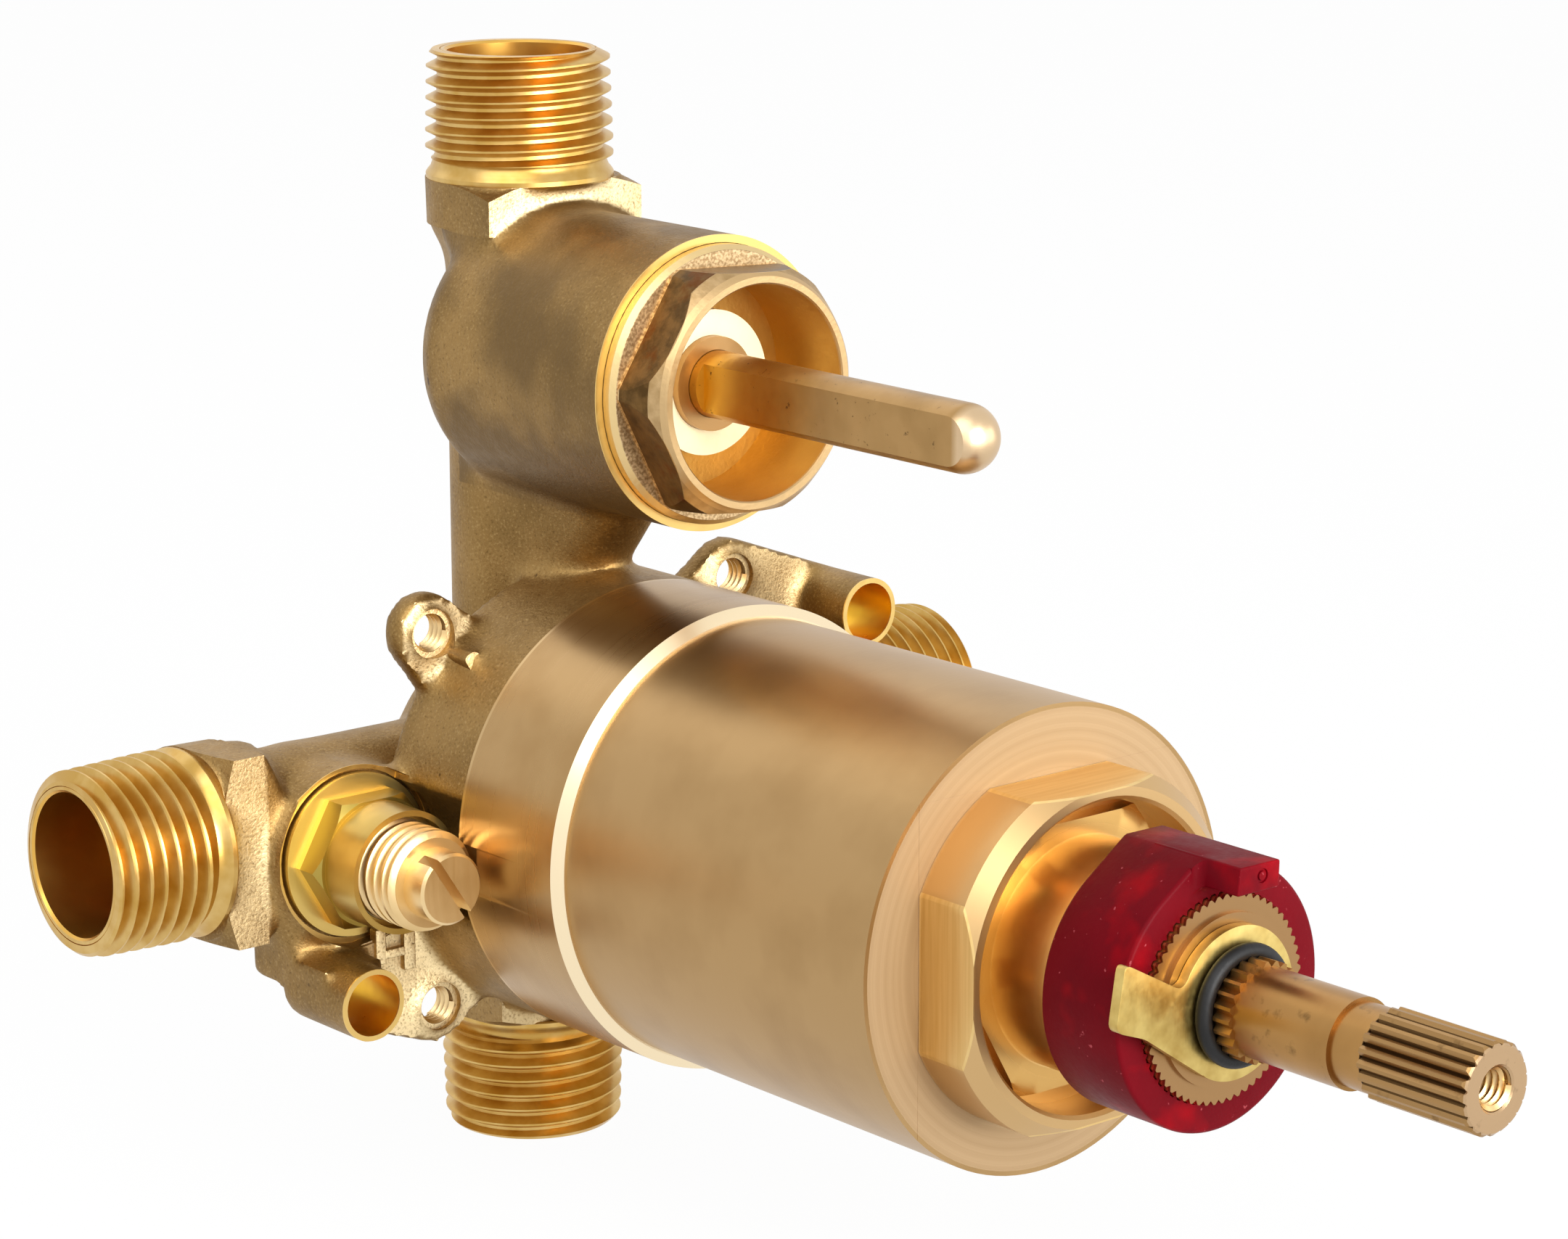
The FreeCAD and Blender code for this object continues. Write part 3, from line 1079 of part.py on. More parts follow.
bar_turned = turned("bar_turned", [
    ("0", "-bar_front + bar_radius"),
    ("bar_radius", "-bar_front + bar_radius"),
    ("bar_radius", "-cup_floor - 0.7"),
    ("bar_radius - 1", "-cup_floor - 0.7"),
    ("bar_radius - 1", "-cup_floor + 0.7"),
    ("bar_radius", "-cup_floor + 0.7"),
    ("bar_radius", "-cup_floor + cup_floor_thickness + 0.1"),
    ("bar_collar", "-cup_floor + cup_floor_thickness + 0.1"),
    ("bar_collar", "-cup_floor + cup_floor_thickness + 0.1 + bar_collar_length"),
    ("bar_radius", "-cup_floor + cup_floor_thickness + 0.1 + bar_collar_length"),
    ("bar_radius", "-disc_floor - 2 * disc_thickness - 0.15"),
    ("0", "-disc_floor - 2 * disc_thickness - 0.15"),
], z="diverter_up")
bar_tip = doc.addObject("Part::Sphere", "bar_tip")
bar_tip.setExpression("Radius", "Sizes.bar_radius")
place(bar_tip, y="-bar_front + bar_radius", z="diverter_up")
bar_flats = [
    box(f"bar_flat_{i}", "bar_radius", "bar_front - bar_flat_rear", "2.2 * bar_radius",
        x="bar_flat" if side > 0 else "-bar_flat - bar_radius", y="-bar_front", z="diverter_up - 1.1 * bar_radius")
    for i, side in enumerate((-1, 1))
]
bar_dog = box("bar_dog", "2 * bar_collar - 1", "dog_length + 1", "2 * dog_half_width", x="-bar_collar + 0.5",
              y="-disc_floor - 2 * disc_thickness - 1.15", z="diverter_up - dog_half_width")
node("diverter_stem", fuse("diverter_stem_solid", [
    cut("bar_shaped", fuse("bar_solid", [bar_turned, bar_tip]), bar_flats), bar_dog]))
node("diverter_stem_seal", seal("diverter_stem_seal_body", "bar_radius - 0.5", "0.48", y="-cup_floor",
                                z="diverter_up"))
moving_blank = cylinder("moving_blank", "disc_radius", "disc_thickness",
                        y="-disc_floor - 2 * disc_thickness - 0.1", z="diverter_up")
moving_slots = [
    box("dog_slot", "2 * bar_collar", "dog_length + 0.2", "2 * dog_half_width + 0.2", x="-bar_collar",
        y="-disc_floor - 2 * disc_thickness - 0.3", z="diverter_up - dog_half_width - 0.1"),
    box("upper_notch", "6", "disc_thickness + 2", "disc_radius", x="-3",
        y="-disc_floor - 2 * disc_thickness - 1", z="diverter_up + port_circle - port_radius"),
    box("side_notch", "disc_radius", "disc_thickness + 2", "6", x="-port_circle + port_radius - disc_radius",
        y="-disc_floor - 2 * disc_thickness - 1", z="diverter_up - 3"),
]
node("moving_disc", cut("moving_disc_cut", moving_blank, moving_slots))
fixed_blank = cylinder("fixed_blank", "disc_radius", "disc_thickness", y="-disc_floor - disc_thickness - 0.05",
                       z="diverter_up")
disc_ports = [
    cylinder(f"disc_port_{i}", "port_radius", "disc_thickness + 2", y="-disc_floor - disc_thickness - 1",
             z=f"diverter_up + {side} * port_circle")
    for i, side in enumerate((-1, 1))
]
node("fixed_disc", cut("fixed_disc_cut", fixed_blank, disc_ports))

# Service stops: bonnet, slotted spindle with its seal, and the rubber washer that closes the seat
for side, hand in ((-1, "hot"), (1, "cold")):
    spot = {"x": f"{side} * stop_across", "z": "-stop_down"}
    bonnet = turned(f"{hand}_bonnet_turned", [
        ("stop_collar_bore", "-stop_collar_front"),
        ("stop_collar", "-stop_collar_front"),
        ("stop_collar", "stop_setback + stop_recess_depth - stop_flange_thickness"),
        ("stop_flange", "stop_setback + stop_recess_depth - stop_flange_thickness"),
        ("stop_flange", "stop_setback + stop_recess_depth"),
        ("stop_thread - thread_clearance", "stop_setback + stop_recess_depth"),
        ("stop_thread - thread_clearance", "stop_thread_rear - 0.2"),
        ("spindle_radius + stem_bore_gap", "stop_thread_rear - 0.2"),
        ("spindle_radius + stem_bore_gap", "-stop_collar_front + stop_collar_mouth"),
        ("stop_collar_bore", "-stop_collar_front + stop_collar_mouth"),
    ], **spot)
    hex_front = "stop_setback + stop_recess_depth - stop_flange_thickness - stop_hex_length"
    hex_blank = common(
        f"{hand}_hex",
        hexagon(f"{hand}_hex_prism", "stop_hex", "stop_hex_length", x=spot["x"], y=hex_front, z=spot["z"]),
        turned(f"{hand}_hex_bevel", [
            ("spindle_radius + 0.5", hex_front),
            ("0.9 * stop_hex", hex_front),
            ("1.01 * stop_hex", f"{hex_front} + 0.7"),
            ("1.01 * stop_hex", f"{hex_front} + stop_hex_length"),
            ("spindle_radius + 0.5", f"{hex_front} + stop_hex_length"),
        ], **spot))
    node(f"{hand}_stop_bonnet", fuse(f"{hand}_stop_bonnet_solid", [bonnet, hex_blank]))
    spindle = turned(f"{hand}_spindle_turned", [
        ("0", "-head_front"),
        ("head_radius - 0.3", "-head_front"),
        ("head_radius", "-head_front + 0.3"),
        ("head_radius", "-spindle_thread_front"),
        ("spindle_radius", "-spindle_thread_front"),
        ("spindle_radius", "1"),
        ("spindle_radius - 2 * small_oring", "1"),
        ("spindle_radius - 2 * small_oring", "2.4"),
        ("spindle_radius", "2.4"),
        ("spindle_radius", "spindle_thread_rear"),
        ("nose_radius", "spindle_thread_rear"),
        ("nose_radius", "stop_washer_front + stop_washer_thickness - 0.4"),
        ("0", "stop_washer_front + stop_washer_thickness - 0.4"),
    ], **spot)
    slot_blade = box(f"{hand}_slot_blade", "4 * head_radius", "slot_depth + 1", "2 * slot_half_width",
                     x="-2 * head_radius", y="-head_front - 1", z="-slot_half_width")
    slot = doc.addObject("Part::Compound", f"{hand}_slot")
    slot.Links = [slot_blade]
    place(slot, turn=FreeCAD.Rotation(Vector(0, 1, 0), size("slot_turn")), **spot)
    node(f"{hand}_stop_spindle", cut(f"{hand}_stop_spindle_cut", spindle, [slot]))
    node(f"{hand}_spindle_seal", seal(f"{hand}_spindle_seal_body", "spindle_radius - small_oring",
                                      "small_oring - 0.02", x=spot["x"], y="1.7", z=spot["z"]))
    node(f"{hand}_stop_washer", turned(f"{hand}_stop_washer_turned", [
        ("nose_radius + 0.02", "stop_washer_front"),
        ("stop_washer_radius", "stop_washer_front"),
        ("stop_washer_radius", "stop_washer_front + stop_washer_thickness"),
        ("nose_radius + 0.02", "stop_washer_front + stop_washer_thickness"),
    ], **spot))

doc.recompute()
for item in doc.Objects:
    if {"Invalid", "Error"} & set(item.State):
        raise RuntimeError(f"{item.Name} did not build: {item.State}")
os.makedirs("parts", exist_ok=True)
for name, item in nodes.items():
    shape = item.Shape
    if shape.isNull() or not shape.isValid() or not shape.Solids:
        raise RuntimeError(f"{name} has no valid solid")
    shape.exportStep(f"parts/{name}.step")
    print(name, len(shape.Solids), len(shape.Faces), round(shape.Volume, 1))
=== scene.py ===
import math

import bmesh
import bpy
import numpy as np
from mathutils import Matrix, Vector


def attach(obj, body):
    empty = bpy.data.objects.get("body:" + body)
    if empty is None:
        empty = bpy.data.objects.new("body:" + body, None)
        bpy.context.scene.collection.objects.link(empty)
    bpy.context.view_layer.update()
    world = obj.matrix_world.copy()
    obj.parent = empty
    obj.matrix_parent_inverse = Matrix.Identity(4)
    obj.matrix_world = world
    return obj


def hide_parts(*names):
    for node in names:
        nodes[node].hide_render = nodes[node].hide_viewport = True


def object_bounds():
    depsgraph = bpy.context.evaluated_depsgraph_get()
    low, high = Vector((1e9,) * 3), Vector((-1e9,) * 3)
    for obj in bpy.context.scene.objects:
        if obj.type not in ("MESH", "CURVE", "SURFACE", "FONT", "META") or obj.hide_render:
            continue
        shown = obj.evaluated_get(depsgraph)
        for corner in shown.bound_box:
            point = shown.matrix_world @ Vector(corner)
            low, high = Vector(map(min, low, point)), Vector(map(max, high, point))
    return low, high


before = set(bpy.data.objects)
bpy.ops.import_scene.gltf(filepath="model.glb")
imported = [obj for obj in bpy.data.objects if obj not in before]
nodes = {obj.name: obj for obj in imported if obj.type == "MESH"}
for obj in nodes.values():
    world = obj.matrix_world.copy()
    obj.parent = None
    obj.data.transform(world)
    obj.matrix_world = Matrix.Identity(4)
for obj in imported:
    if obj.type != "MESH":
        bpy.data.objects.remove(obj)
cad_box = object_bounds()
MM = 0.001

# Seats: a turned piece is drawn along its own Z, and a seat lays that axis where it belongs


def seat(along, across, origin):
    """The place whose Z is `along` and whose X is `across`, at an origin in millimetres."""
    z, x = Vector(along), Vector(across)
    place = Matrix((x, z.cross(x), z)).transposed().to_4x4()
    place.translation = Vector(origin) * MM
    return place


def behind(x, z):
    """A piece turned about an axis that runs into the wall at x and z."""
    return seat((0, 1, 0), (1, 0, 0), (x, 0, z))


DIVERTER_UP = 50.45
STOP_ACROSS, STOP_UP = 31.47, -2.25
PIPE_PLANE = 11
TUBE_ACROSS, TUBE_UP = 36, 16.6
LUG_SPOT = 21.65

MAIN = behind(0, 0)
DIVERTER = behind(0, DIVERTER_UP)
HOT_STOP = behind(-STOP_ACROSS, STOP_UP)
COLD_STOP = behind(STOP_ACROSS, STOP_UP)
PIPE_ENDS = {
    "top": seat((0, 0, 1), (1, 0, 0), (0, PIPE_PLANE, 84)),
    "bottom": seat((0, 0, -1), (1, 0, 0), (0, PIPE_PLANE, -42.3)),
    "hot": seat((-1, 0, 0), (0, 1, 0), (-61.9, PIPE_PLANE, 0)),
    "cold": seat((1, 0, 0), (0, 1, 0), (61.9, PIPE_PLANE, 0)),
}


# Meshes


def piece_from(name, mesh):
    piece = bpy.data.objects.new(name, mesh)
    bpy.context.scene.collection.objects.link(piece)
    return piece


def tidy_mesh(mesh, sharp=32):
    """Merges doubles, turns the faces outwards and keeps edges sharper than an angle crisp."""
    work = bmesh.new()
    work.from_mesh(mesh)
    bmesh.ops.remove_doubles(work, verts=work.verts, dist=2e-6)
    bmesh.ops.dissolve_degenerate(work, edges=work.edges, dist=1e-6)
    bmesh.ops.recalc_face_normals(work, faces=work.faces)
    work.to_mesh(mesh)
    work.free()
    mesh.shade_smooth()
    mesh.set_sharp_from_angle(angle=math.radians(sharp))
    return mesh


def turned(name, outline, place=MAIN, steps=96):
    """A solid turned from a closed outline of (radius, station) corners in millimetres."""
    rings, points, faces = [], [], []
    for radius, station in outline:
        count = steps if radius > 1e-6 else 1
        rings.append(range(len(points), len(points) + count))
        for i in range(count):
            angle = 2 * math.pi * i / steps
            points.append(place @ Vector((radius * MM * math.cos(angle), radius * MM * math.sin(angle),
                                          station * MM)))
    for ring, after in zip(rings, rings[1:] + rings[:1]):
        if len(ring) == len(after) == 1:
            continue
        for i in range(steps):
            j = (i + 1) % steps
            corners = [ring[i % len(ring)], ring[j % len(ring)], after[j % len(after)], after[i % len(after)]]
            faces.append(list(dict.fromkeys(corners)))
    mesh = bpy.data.meshes.new(name)
    mesh.from_pydata(points, [], faces)
    return piece_from(name, tidy_mesh(mesh))


def rod(name, radius, start, end, place=MAIN, steps=64):
    return turned(name, [(0, start), (radius, start), (radius, end), (0, end)], place, steps)


def block(name, low, high):
    """A box between two corners in millimetres."""
    work = bmesh.new()
    bmesh.ops.create_cube(work, size=1)
    low, high = Vector(low) * MM, Vector(high) * MM
    for vert in work.verts:
        vert.co = Vector(low[i] + (high[i] - low[i]) * (vert.co[i] + 0.5) for i in range(3))
    mesh = bpy.data.meshes.new(name)
    work.to_mesh(mesh)
    work.free()
    return piece_from(name, mesh)


def arc(radius, start, end, steps, x=0, z=0):
    """Points on a circle parallel to the wall, between two angles in degrees."""
    angles = [math.radians(start + (end - start) * i / steps) for i in range(steps + 1)]
    return [(x + radius * math.cos(a), z + radius * math.sin(a)) for a in angles]


def eased(corners):
    """An outline whose corners (across, up, cut) are each eased into a short curve."""
    result = []
    count = len(corners)
    for i, (x, z, cut) in enumerate(corners):
        corner = Vector((x, z))
        before, after = (Vector(corners[(i + step) % count][:2]) - corner for step in (-1, 1))
        start, end = corner + before.normalized() * cut, corner + after.normalized() * cut
        for step in range(6 if cut else 1):
            share = step / 5
            result.append(tuple(start.lerp(corner, share).lerp(corner.lerp(end, share), share)))
    return result


def lofted(name, outlines, stations):
    """A solid through outlines of (across, up) points, each at its station, in millimetres."""
    count = len(outlines[0])
    points = [Vector((x, y, z)) * MM for outline, y in zip(outlines, stations) for x, z in outline]
    last = len(points) - count
    faces = [list(range(count)), list(range(last + count - 1, last - 1, -1))]
    for ring in range(0, last, count):
        faces += [[ring + i, ring + (i + 1) % count, ring + (i + 1) % count + count, ring + i + count]
                  for i in range(count)]
    mesh = bpy.data.meshes.new(name)
    mesh.from_pydata(points, [], faces)
    return piece_from(name, tidy_mesh(mesh))


def plate(name, outline, front, rear, bevel=0):
    """A plate parallel to the wall, its rim edges rounded if a bevel is given."""
    piece = lofted(name, [outline, outline], [front, rear])
    if bevel:
        change = piece.modifiers.new("bevel", "BEVEL")
        change.width = bevel * MM
        change.segments = 3
        change.limit_method = "ANGLE"
        change.angle_limit = math.radians(60)
        settle(piece)
    return piece


def settle(piece):
    """Turns the live modifiers into a plain mesh."""
    graph = bpy.context.evaluated_depsgraph_get()
    mesh = bpy.data.meshes.new_from_object(piece.evaluated_get(graph))
    piece.modifiers.clear()
    piece.data = mesh
    return piece


def shape(piece, tool, operation="DIFFERENCE", keep=False):
    """Cuts a piece with a tool, joins it to it or keeps what they share."""
    change = piece.modifiers.new("shape", "BOOLEAN")
    change.operation = operation
    change.solver = "MANIFOLD"
    change.object = tool
    settle(piece)
    if not keep:
        bpy.data.objects.remove(tool)
    return piece


def joined(name, pieces):
    """One mesh of several, their overlaps left as they are."""
    work = bmesh.new()
    for item in pieces:
        work.from_mesh(item.data)
    mesh = bpy.data.meshes.new(name)
    work.to_mesh(mesh)
    work.free()
    for item in pieces:
        bpy.data.objects.remove(item)
    return piece_from(name, mesh)


def copy_of(node):
    """A merged copy of a CAD node."""
    mesh = nodes[node].data.copy()
    mesh.materials.clear()
    if "custom_normal" in mesh.attributes:
        mesh.attributes.remove(mesh.attributes["custom_normal"])
    work = bmesh.new()
    work.from_mesh(mesh)
    bmesh.ops.remove_doubles(work, verts=work.verts, dist=1e-6)
    work.to_mesh(mesh)
    work.free()
    return piece_from(f"{node}_copy", mesh)


# Finishes


class Value:
    """A socket that takes part in arithmetic."""

    def __init__(self, finish, socket):
        self.finish = finish
        self.socket = socket

    def math(self, operation, first, second):
        return self.finish.node("ShaderNodeMath", {"operation": operation}, {0: first, 1: second})

    def __add__(self, other):
        return self.math("ADD", self, other)

    def __radd__(self, other):
        return self.math("ADD", other, self)

    def __sub__(self, other):
        return self.math("SUBTRACT", self, other)

    def __rsub__(self, other):
        return self.math("SUBTRACT", other, self)

    def __mul__(self, other):
        return self.math("MULTIPLY", self, other)

    def __rmul__(self, other):
        return self.math("MULTIPLY", other, self)

    def __gt__(self, other):
        return self.math("GREATER_THAN", self, other)

    def __lt__(self, other):
        return self.math("LESS_THAN", self, other)

    def __pow__(self, other):
        return self.math("POWER", self, other)


def tone(red, green, blue):
    """A colour as a picture shows it, 0 to 255, in the shader's own units."""
    levels = [v / 255 for v in (red, green, blue)]
    return tuple(v / 12.92 if v <= 0.04045 else ((v + 0.055) / 1.055) ** 2.4 for v in levels) + (1.0,)


class Finish:
    """A material, and the nodes that vary it over a surface."""

    def __init__(self, name, colour, **sockets):
        self.material = bpy.data.materials.new(name)
        self.material.use_nodes = True
        self.tree = self.material.node_tree
        self.shader = self.tree.nodes["Principled BSDF"]
        self.shader.inputs["Base Color"].default_value = colour
        for socket, value in sockets.items():
            self.shader.inputs[socket.replace("_", " ").title().replace("Ior", "IOR")].default_value = value
        self.spot = self.node("ShaderNodeTexCoord", {}, {}, "Object")

    def node(self, kind, settings, inputs, output=0):
        node = self.tree.nodes.new(kind)
        for key, value in settings.items():
            setattr(node, key, value)
        for key, value in inputs.items():
            if isinstance(value, Value):
                self.tree.links.new(value.socket, node.inputs[key])
            else:
                node.inputs[key].default_value = value
        return Value(self, node.outputs[output])

    def sized(self, x=1, y=1, z=1):
        """Object coordinates stretched along the axes."""
        return self.node("ShaderNodeMapping", {}, {"Vector": self.spot, "Scale": (x, y, z)})

    def grain(self, size, detail=2, rough=0.5, spot=None, **settings):
        """Noise whose blobs are about `size` millimetres across."""
        return self.node("ShaderNodeTexNoise", settings,
                         {"Vector": spot or self.spot, "Scale": 1 / (size * MM), "Detail": detail,
                          "Roughness": rough})

    def mask(self, value, low, high):
        """0 below a level and 1 above another."""
        return self.node("ShaderNodeMapRange", {}, {"Value": value, "From Min": low, "From Max": high})

    def mix(self, mask, first, second):
        return self.node("ShaderNodeMix", {"data_type": "RGBA"}, {0: mask, 6: first, 7: second}, 2)

    def places(self):
        """The three object coordinates: across, station and up."""
        parts = self.tree.nodes.new("ShaderNodeSeparateXYZ")
        self.tree.links.new(self.spot.socket, parts.inputs[0])
        return [Value(self, output) for output in parts.outputs]

    def radius(self, x, z):
        """Distance from an axis that runs into the wall, and the station along it."""
        across, station, up = self.places()
        across = across - x * MM
        up = up - z * MM
        return (across * across + up * up) ** 0.5, station

    def ring_marks(self, x, z, size):
        """Noise that runs round an axis: the marks of a turning tool."""
        radius, station = self.radius(x, z)
        spot = self.node("ShaderNodeCombineXYZ", {}, {0: radius, 1: station})
        return self.grain(size, 3, 0.6, spot)

    def zone(self, x, z, low, high, near, far):
        """1 between two stations and two radii of an axis into the wall, in millimetres."""
        away, station = self.radius(x, z)
        return ((station > low * MM) * (station < high * MM)) * ((away > near * MM) * (away < far * MM))

    def bore(self, size):
        """1 inside the four pipe bores, whose axes cross 11 mm behind the mounting plane."""
        x, y, z = self.places()
        y = y - PIPE_PLANE * MM
        room = (size * MM) ** 2
        level = ((y * y + z * z) < room) * ((x * x) > (22 * MM) ** 2)
        upright = ((y * y + x * x) < room) * ((z * z) > (22 * MM) ** 2)
        return self.node("ShaderNodeMath", {"operation": "MAXIMUM"}, {0: level, 1: upright})

    def feed(self, socket, value):
        self.tree.links.new(value.socket, self.shader.inputs[socket])

    def bump(self, height, depth):
        """Relief of a height in 0 to 1, `depth` millimetres deep."""
        result = self.node("ShaderNodeBump", {}, {"Height": height, "Distance": depth * MM, "Strength": 1.0})
        self.feed("Normal", result)
        return self


def cast_brass():
    """Shell-moulded brass: dull fine sand grain, with the faces that a tool has skimmed left bright, and a painted
    highlight on the front faces of the lugs, nib and wrench blocks.
    """
    finish = Finish("cast_brass", tone(164, 128, 72), metallic=1.0, roughness=0.45)
    sand = finish.grain(0.34, 2, 0.6)
    coarse = finish.grain(1.5, 3, 0.55)
    cloud = finish.grain(12, 2, 0.5)
    base = finish.mix(finish.mask(cloud, 0.35, 0.65), tone(136, 107, 62), tone(160, 128, 78))
    base = finish.mix(finish.mask(sand, 0.55, 0.86), base, tone(186, 156, 104))
    base = finish.mix(finish.mask(sand, 0.42, 0.20), base, tone(110, 84, 46))
    base = finish.mix(finish.mask(finish.grain(2.6, 2, 0.5), 0.72, 0.76), base, tone(84, 60, 34))
    skimmed = finish.zone(0, DIVERTER_UP, -24.0, -23.4, 0, 17)
    boss = finish.zone(0, DIVERTER_UP, -23.4, 12, 0, 17.5) * finish.mask(finish.grain(20, 3, 0.55), 0.42, 0.56)
    base = finish.mix(boss * 0.8, base, tone(114, 90, 56))
    # Painted highlight: front-facing surfaces of the lugs, nib and wrench blocks are lightened to pale gold as if
    # lit from the front
    front = finish.node("ShaderNodeAttribute", {"attribute_name": "painted_highlight"}, {}, 2)
    base = finish.mix(front * finish.mask(sand, 0.2, 0.5), base, tone(250, 226, 176))
    _, station = finish.radius(0, 0)
    deep = finish.bore(8.43) * (station > 0)
    base = finish.mix(deep, base, tone(206, 160, 84))
    bored = (finish.zone(TUBE_ACROSS, TUBE_UP, -8.0, 4, 0, 3.6)
             + finish.zone(-TUBE_ACROSS, -TUBE_UP, -8.0, 4, 0, 3.6))
    for side in (-1, 1):
        skimmed = skimmed + finish.zone(STOP_ACROSS * side, STOP_UP, 1.55, 1.75, 9.5, 10.3)
        skimmed = skimmed + finish.zone(TUBE_ACROSS * side, TUBE_UP * side, -8.4, -8.0, 0, 4.6)
    base = finish.mix(skimmed, base, tone(228, 192, 116))
    base = finish.mix(bored, base, tone(244, 188, 56))
    bright = skimmed + bored
    finish.feed("Base Color", base)
    finish.feed("Roughness", 0.36 + 0.24 * coarse - 0.16 * bright)
    return finish.bump((sand * 0.5 + coarse * 0.6) * (1 - bright), 0.11).material


def turned_brass(name, x, z, colour, dark, roughness=0.24, bands=(), smudge=None):
    """Turned brass: fine rings round its own axis, a little cloudy, with bands of another shade."""
    finish = Finish(name, colour, metallic=1.0, roughness=roughness)
    rings = finish.ring_marks(x, z, 0.3)
    cloud = finish.grain(9, 3, 0.5)
    base = finish.mix(finish.mask(cloud, 0.42, 0.72), colour, dark)
    for low, high, near, far, shade in bands:
        base = finish.mix(finish.zone(x, z, low, high, near, far), base, shade)
    if smudge:
        base = finish.mix(finish.mask(finish.grain(3.2, 4, 0.6), 0.60, 0.74), base, smudge)
    finish.feed("Base Color", base)
    finish.feed("Roughness", roughness - 0.04 + 0.1 * rings)
    return finish.bump(rings, 0.005).material


def hexagon_brass():
    """The diverter bonnet: a pale turned rim, bevel and flange, and hexagon flats whose mottled dark brown is a
    painted reflection of dark surroundings.
    """
    finish = Finish("diverter_brass", tone(126, 94, 52), metallic=1.0, roughness=0.42)
    away, station = finish.radius(0, DIVERTER_UP)
    # Painted dark reflection: the flats' brown, mottled with darker and redder patches, stands for the dark
    # surroundings they reflect
    mottle = finish.grain(2.2, 4, 0.62)
    base = finish.mix(finish.mask(mottle, 0.38, 0.6), tone(86, 63, 34), tone(118, 88, 50))
    base = finish.mix(finish.mask(finish.grain(5, 4, 0.6), 0.58, 0.68), base, tone(104, 62, 24))
    turned_off = (away - station * 0.885) > 40.2 * MM
    pale = finish.mix(finish.mask(finish.grain(1.2, 3), 0.35, 0.7), tone(166, 136, 92), tone(190, 160, 116))
    base = finish.mix(turned_off * (away > 12.3 * MM) * (station < -28.4 * MM), base, pale)
    base = finish.mix(finish.zone(0, DIVERTER_UP, -32, -30.6, 11.5, 16), base, tone(200, 168, 120))
    fine = finish.mask(finish.grain(0.34, 2), 0.4, 0.6)
    speckle = finish.mix(fine, tone(166, 136, 96), tone(214, 186, 142))
    base = finish.mix(finish.zone(0, DIVERTER_UP, -25.5, -22, 12, 14.8), base, speckle)
    base = finish.mix(finish.zone(0, DIVERTER_UP, -25.5, -22, 14.8, 16), base, tone(224, 196, 140))
    base = finish.mix(finish.zone(0, DIVERTER_UP, -30.8, -12, 0, 12.2), base, tone(200, 156, 80))
    finish.feed("Base Color", base)
    finish.feed("Roughness", 0.28 + 0.22 * mottle)
    return finish.bump(finish.grain(0.5, 2) * 0.5 + mottle * 0.5, 0.05).material


def bar_brass():
    """The diverter bar: a painted golden reflection of the cup where it leaves its bush, tan and pitted towards a
    pale tip.
    """
    finish = Finish("bar_brass", tone(182, 146, 94), metallic=1.0, roughness=0.3)
    _, station = finish.radius(0, DIVERTER_UP)
    cloud = finish.grain(7, 3, 0.5)
    base = finish.mix(finish.mask(cloud, 0.4, 0.7), tone(176, 140, 90), tone(158, 124, 76))
    # Painted reflection: the golden band near the root stands for the cup reflected in the bar
    base = finish.mix(finish.mask(station, -44 * MM, -26 * MM), base, tone(214, 164, 66))
    base = finish.mix(finish.mask(finish.grain(1.1, 4, 0.7), 0.64, 0.70), base, tone(104, 80, 50))
    base = finish.mix(finish.mask(station, -64.6 * MM, -65.6 * MM), base, tone(214, 186, 148))
    finish.feed("Base Color", base)
    finish.feed("Roughness", 0.26 + 0.18 * finish.grain(1.5, 3))
    return finish.bump(finish.grain(0.6, 3), 0.012).material


def sleeve_brass():
    """The sleeve: satin turned brass with a brighter shoulder and four milled flats."""
    finish = Finish("sleeve_brass", tone(180, 146, 100), metallic=1.0, roughness=0.34)
    rings = finish.ring_marks(0, 0, 0.3)
    cloud = finish.grain(9, 3, 0.5)
    base = finish.mix(finish.mask(cloud, 0.42, 0.72), tone(182, 148, 101), tone(172, 138, 92))
    low, high = 17.4 * MM, 17.75 * MM
    across, station, up = finish.places()
    face = finish.zone(0, 0, -77.2, -76.6, 17.0, 24.4)
    turning = finish.mix(finish.ring_marks(0, 0, 0.5), tone(166, 138, 102), tone(192, 166, 130))
    base = finish.mix(face, base, turning)
    collar = finish.zone(0, 0, -86, -77, 16.0, 20)
    base = finish.mix(collar, base, tone(206, 170, 118))
    flat = ((across * across > low * low) * (across * across < high * high)
            + (up * up > low * low) * (up * up < high * high)) * (station < -77.0 * MM)
    milled = finish.grain(0.5, 2, 0.5, finish.sized(0.04, 1, 0.04))
    base = finish.mix(flat, base, finish.mix(milled, tone(210, 172, 102), tone(240, 210, 150)))
    finish.feed("Base Color", base)
    finish.feed("Roughness", 0.3 + 0.1 * rings + 0.3 * face)
    return finish.bump(rings, 0.006).material


def thread_brass():
    """Cut threads: golden flanks under paler crests."""
    finish = Finish("thread_brass", tone(222, 184, 108), metallic=1.0, roughness=0.3)
    cloud = finish.grain(4, 3, 0.55)
    base = finish.mix(finish.mask(cloud, 0.4, 0.65), tone(198, 158, 82), tone(214, 180, 112))
    base = finish.mix(finish.bore(8.3), base, tone(224, 176, 86))
    finish.feed("Base Color", base)
    finish.feed("Roughness", 0.27 + 0.08 * finish.grain(2, 2))
    return finish.bump(finish.grain(1.2, 2), 0.006).material


